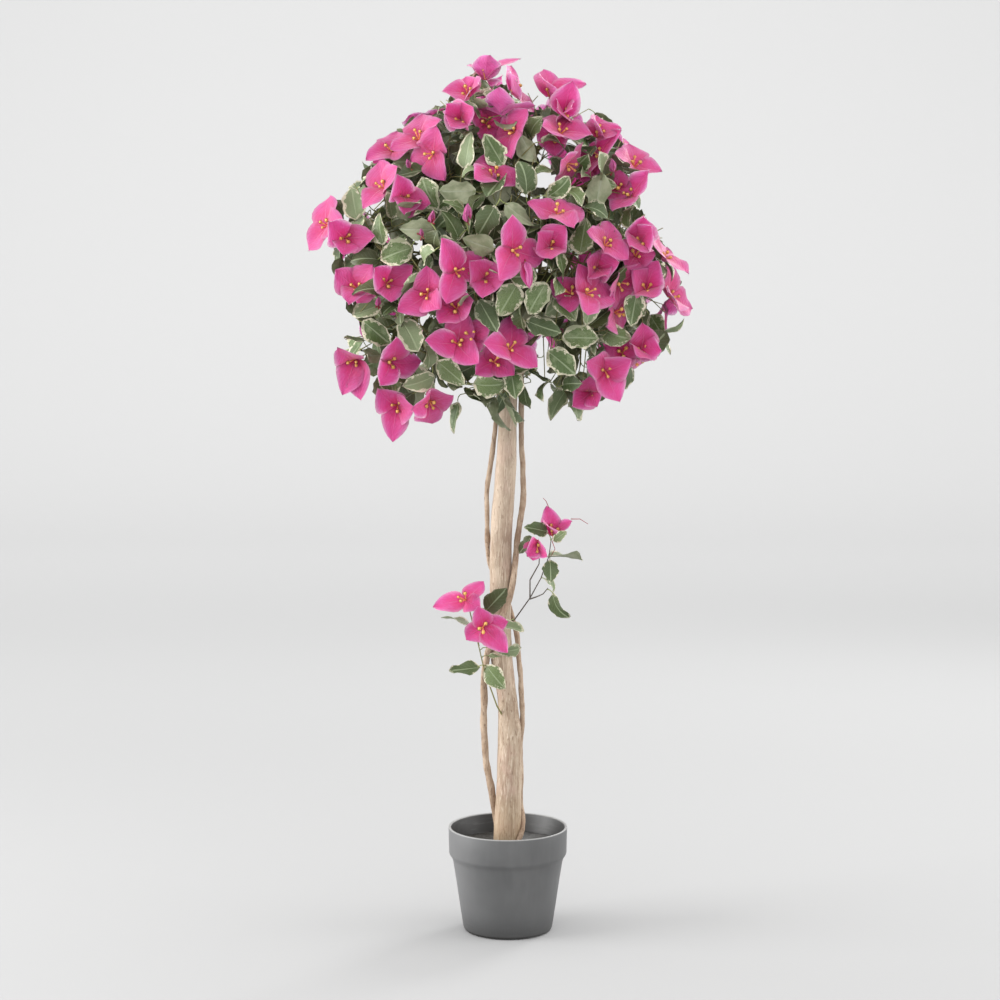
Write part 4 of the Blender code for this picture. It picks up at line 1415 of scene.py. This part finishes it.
leafy = Finish("variegated_leaf", Roughness=0.5, Specular_IOR_Level=0.4)
larger = leafy.vector("SCALE", leafy.chart(), {"Scale": 4})
across = leafy.axis(leafy.vector("FRACTION", larger), "X")
column = leafy.axis(leafy.vector("FLOOR", larger), "X")
row = column.part("Y")
along = (across.part("Y") - 0.04) * (1 / 0.92)
aside = abs(across - 0.5) * (1 / 0.46)
clouds = leafy.cloud(larger, 5.5, 4, 0.6)
patches = leafy.cloud(larger, 2.6, 3, 0.55)
fine = leafy.cloud(larger, 26, 3, 0.6)
sage = leafy.rise(column, 0.4, 0.6) * leafy.rise(column, 1.6, 1.4)
# Columns 2 and 3 are the dark and darker kinds: partly leaves of a deeper tone, partly painted shade,
# as they are dealt out mostly deep in the crown.
dark = leafy.rise(column, 1.4, 2.0)
darker = leafy.rise(column, 2.2, 2.8)
from_edge = (1 - aside) * (along * (1 - along) * 4)
ragged = (clouds - 0.5) * 1.3 + (fine - 0.5) * 0.5 + (patches - 0.5) * 0.9
rim = leafy.rise(from_edge + ragged + dark * 0.13, 0.22, 0.12)
rim = rim * leafy.rise(patches, 0.36, 0.52, 0.35, 1) * (1 - darker * 0.85)
veins = (along - aside * 0.28) * 8
veins = abs(veins.worked("FRACT", veins) - 0.5)
veins = leafy.rise(veins, 0.42, 0.49) * leafy.rise(aside, 0.98, 0.6)
midrib = leafy.rise(aside * (1.15 - along), 0.055, 0.02)
under = leafy.layered(
    (0.190, 0.220, 0.120),
    ((0.310, 0.330, 0.215), patches, 0.35, 0.65),
    ((0.340, 0.370, 0.270), midrib * 0.5),
)
body = leafy.layered(
    (0.082, 0.130, 0.040),
    ((0.145, 0.200, 0.075), row, 0, 2),
    ((0.225, 0.280, 0.145), patches, 0.48, 0.62, 0.7),
    ((0.055, 0.082, 0.026), fine, 0.4, 0.7, 0.5),
    ((0.240, 0.290, 0.165), sage * 0.6),
    ((0.050, 0.074, 0.026), dark * 0.75),
    ((0.060, 0.066, 0.022), darker * 0.75),
    ((0.640, 0.600, 0.450), rim),
    ((0.250, 0.310, 0.200), veins * 0.18),
    ((0.400, 0.470, 0.290), midrib * 0.5),
    (under, row > 2.5),
)
leafy.coat(Base_Color=body, Roughness=leafy.rise(fine, 0.3, 0.7, 0.38, 0.55))
leafy.bump(fine * 0.3 - veins * 0.5 - midrib, 0.0006, 0.6)


# ---------------------------------------------------------------------------------------------
# Shoots. Two thin sprays have sprung low on the trunk: a stem forks once or twice, bears a pair
# of blossoms and a few leaves, and ends in fine dry tendrils.

SHOOT_ENDS = (0.0013, 0.0007)
SHOOTS = (  # stems, as places in the view and their Y in mm; the first of each is in the wood
    ((505, 720, -4), (497, 706, -17), (485, 673, -26), (478, 643, -32), (481, 632, -36)),
    ((479, 646, -31), (474, 628, -28), (470, 612, -31), (467, 603, -34)),
    ((508, 625, 0), (515, 619, -5), (530, 598, -8), (541, 578, -10), (549, 556, -8), (551, 541, -3)),
    ((530, 599, -8), (530, 580, -12), (539, 564, -15), (540, 549, -14)),
    ((530, 599, -8), (536, 597, -12), (543, 594, -15), (548, 588, -17)),
)
SHOOT_BLOSSOMS = (  # as for the crown, with the bracts' tips
    ((-52, -37, 428), (-30, 30), (22, 10, 22), (-41, 6, -10), (19, -12, -8)),
    ((-31, -46, 396), (5, 5), (-6, -6, 27), (-21, 6, -17), (31, -8, -31), (31, 6, 6)),
    ((55, 0, 503), (15, 60), (25, -8, 20), (-7, 14, 36), (-12, -26, 20)),
    ((37, -20, 500), (-25, -40), (-6, 5, -26), (12, -16, -18), (-14, -14, -18)),
)
SHOOT_LEAVES = (  # base and tip in the view, their Y in mm, breadth in mm, kind
    (486, 611, -22, 507, 588, -27, 31, 3),
    (471, 626, -31, 441, 616, -36, 14, 1),
    (499, 624, -31, 524, 631, -34, 10, 1),
    (496, 650, -25, 522, 649, -22, 8, 1),
    (488, 656, -24, 502, 657, -27, 10, 1),
    (480, 667, -26, 449, 671, -31, 15, 2),
    (486, 665, -25, 506, 690, -34, 27, 0),
    (548, 532, -14, 524, 527, -20, 21, 2),
    (531, 536, -17, 519, 554, -20, 17, 3),
    (553, 541, -22, 567, 531, -28, 15, 0),
    (550, 560, -12, 551, 583, -17, 25, 2),
    (548, 557, -10, 583, 559, 12, 5, 1),
    (545, 579, -13, 556, 592, -6, 5, 1),
    (553, 593, -16, 568, 621, -22, 11, 2),
)
TENDRILS = (
    ((571, 519, -6), (580, 519, -8), (588, 524, -9)),
    ((549, 508, 12), (546, 501, 13), (543, 498, 13)),
    ((552, 541, -6), (555, 549, -9), (551, 556, -9)),
)


def standing(u, v, y):
    """The place in the view whose Y is so many mm."""
    ray = sight(u, v)
    return EYE + (0.001 * y - EYE.y) / ray.y * ray


dark_stems = Gathering()
for index, rows in enumerate(SHOOTS):
    knots = [standing(*row) for row in rows]
    path = [knots[0]]
    for first, second in zip(knots, knots[1:]):
        path += [first.lerp(second, 0.5), second]
    twig(path, SHOOT_ENDS, gathering=woody if index < 2 else dark_stems)
for rows in TENDRILS:
    rod(crimson, [standing(*row) for row in rows], (0.0007, 0.0004))
for index, (place, facing, *tips) in enumerate(SHOOT_BLOSSOMS):
    settle(random.Random(800 + index), place, outward(*facing), tips, SHOOT_BREADTH)
for index, (*ends, wide, kind) in enumerate(SHOOT_LEAVES):
    dice = random.Random(850 + index)
    base, tip = standing(*ends[:3]), standing(*ends[3:])
    long = (tip - base).length
    seen_leaf(dice, base, (tip - base).normalized(), long, 0.001 * wide, kind, loose=5)

span = (0.35, 0.65)
tones = ((0.150, 0.140, 0.050), (0.290, 0.270, 0.115))
olive = speckled("twig_skin", 0.7, 0.3, (30, 4, 0.6), span, tones, (0.0004, 0.6))
tones = ((0.190, 0.230, 0.065), (0.340, 0.380, 0.140))
green = speckled("petiole_skin", 0.6, 0.35, (12, 3, 0.6), span, tones, (0.0003, 0.4))
tones = ((0.070, 0.058, 0.050), (0.150, 0.130, 0.110))
dark = speckled("dark_shoot_bark", 0.7, 0.3, (30, 4, 0.6), span, tones, (0.0003, 0.5))

foliage_nodes = ["foliage_" + row[0] for row in MASSES] + ["shoot_left", "shoot_right"]
for name, gathering, finish in (
    ("crown_leaves", leaves, leafy),
    ("crown_bracts", bracts, papery),
    ("crown_flowers", hearts, yellow),
    ("crown_flower_stalks", stalks, coral),
    ("crown_buds", crimson, wine),
    ("crown_twigs", woody, olive),
    ("crown_petioles", petioles, green),
):
    worn(gathering.piece(name), finish, "foliage", *foliage_nodes)
worn(dark_stems.piece("shoot_stems"), dark, "foliage", "shoot_right")


# ---------------------------------------------------------------------------------------------
# Studio. A sheet of pale paper that curves up from the floor into the backdrop, a wide soft
# light from the left, weaker ones from the right and from behind, and one for the backdrop.

SWEEP_RADIUS = 2.0
SWEEP_STEPS = 12

deselect()
bpy.ops.mesh.primitive_plane_add(size=1, location=(0, 0, 0))
sweep = bpy.context.object
sweep.name = sweep.data.name = "studio_sweep"
bpy.ops.object.mode_set(mode="EDIT")
bpy.ops.transform.resize(value=(14, 9, 1), center_override=(0, 0, 0))
bpy.ops.transform.translate(value=(0, -1.0, 0))
select_edges(sweep, lambda place: place.y > 3)
for step in range(SWEEP_STEPS):
    lean = math.radians(90 * (step + 0.5) / SWEEP_STEPS)
    run = SWEEP_RADIUS * math.pi / (2 * SWEEP_STEPS)
    move = (0, run * math.cos(lean), run * math.sin(lean))
    bpy.ops.mesh.extrude_region_move(TRANSFORM_OT_translate={"value": move})
bpy.ops.mesh.extrude_region_move(TRANSFORM_OT_translate={"value": (0, 0, 5)})
close_edit()
bpy.ops.object.shade_smooth()
paper = Finish("backdrop_paper", Roughness=0.95, Specular_IOR_Level=0.1)
back = paper.axis(paper.places(1, 1, 1), "Y")
# Painted shade: the paper is greyer over the floor from the plant back towards the curve, to even out
# the lamps' brighter band there.
painted_shade_band = paper.rise(back, -0.3, 1.2) * paper.rise(back, 3.6, 2.0)
paper.coat(Base_Color=paper.blend(painted_shade_band, (0.409, 0.409, 0.409), (0.352, 0.352, 0.352)))
sweep.data.materials.append(paper.material)

world = bpy.data.worlds.new("studio")
world.use_nodes = True
sky = world.node_tree.nodes["Background"]
sky.inputs["Color"].default_value = (1.0, 1.0, 1.0, 1)
sky.inputs["Strength"].default_value = 1.44
bpy.context.scene.world = world


def softbox(name, place, aim, size, power, spread=180):
    light = bpy.data.lights.new(name, "AREA")
    light.shape = "RECTANGLE"
    light.size, light.size_y = size
    light.energy = power
    light.spread = math.radians(spread)
    made = bpy.data.objects.new(name, light)
    made.location = place
    made.rotation_euler = (Vector(aim) - Vector(place)).to_track_quat("-Z", "Y").to_euler()
    bpy.context.collection.objects.link(made)


softbox("key_light", (-3.28, -0.55, 1.15), (0, 0, 0.6), (2.2, 1.9), 122)
softbox("side_light", (3.0, -0.2, 1.4), (0, 0, 0.6), (2.0, 2.0), 33)
softbox("backdrop_light", (0, 1.2, 3.6), (0, 4.8, 2.2), (7.0, 1.0), 180)
softbox("rear_light", (1.7, 2.2, 1.9), (0, 0, 0.4), (1.0, 1.0), 13, 100)

camera = bpy.data.cameras.new("camera")
camera.lens = 100.8
camera.sensor_width = 36
eye = bpy.data.objects.new("camera", camera)
eye.location = EYE
eye.rotation_euler = (math.pi / 2 - DIP, 0, 0)
bpy.context.collection.objects.link(eye)
bpy.context.scene.camera = eye
bpy.context.scene.view_settings.view_transform = "Standard"
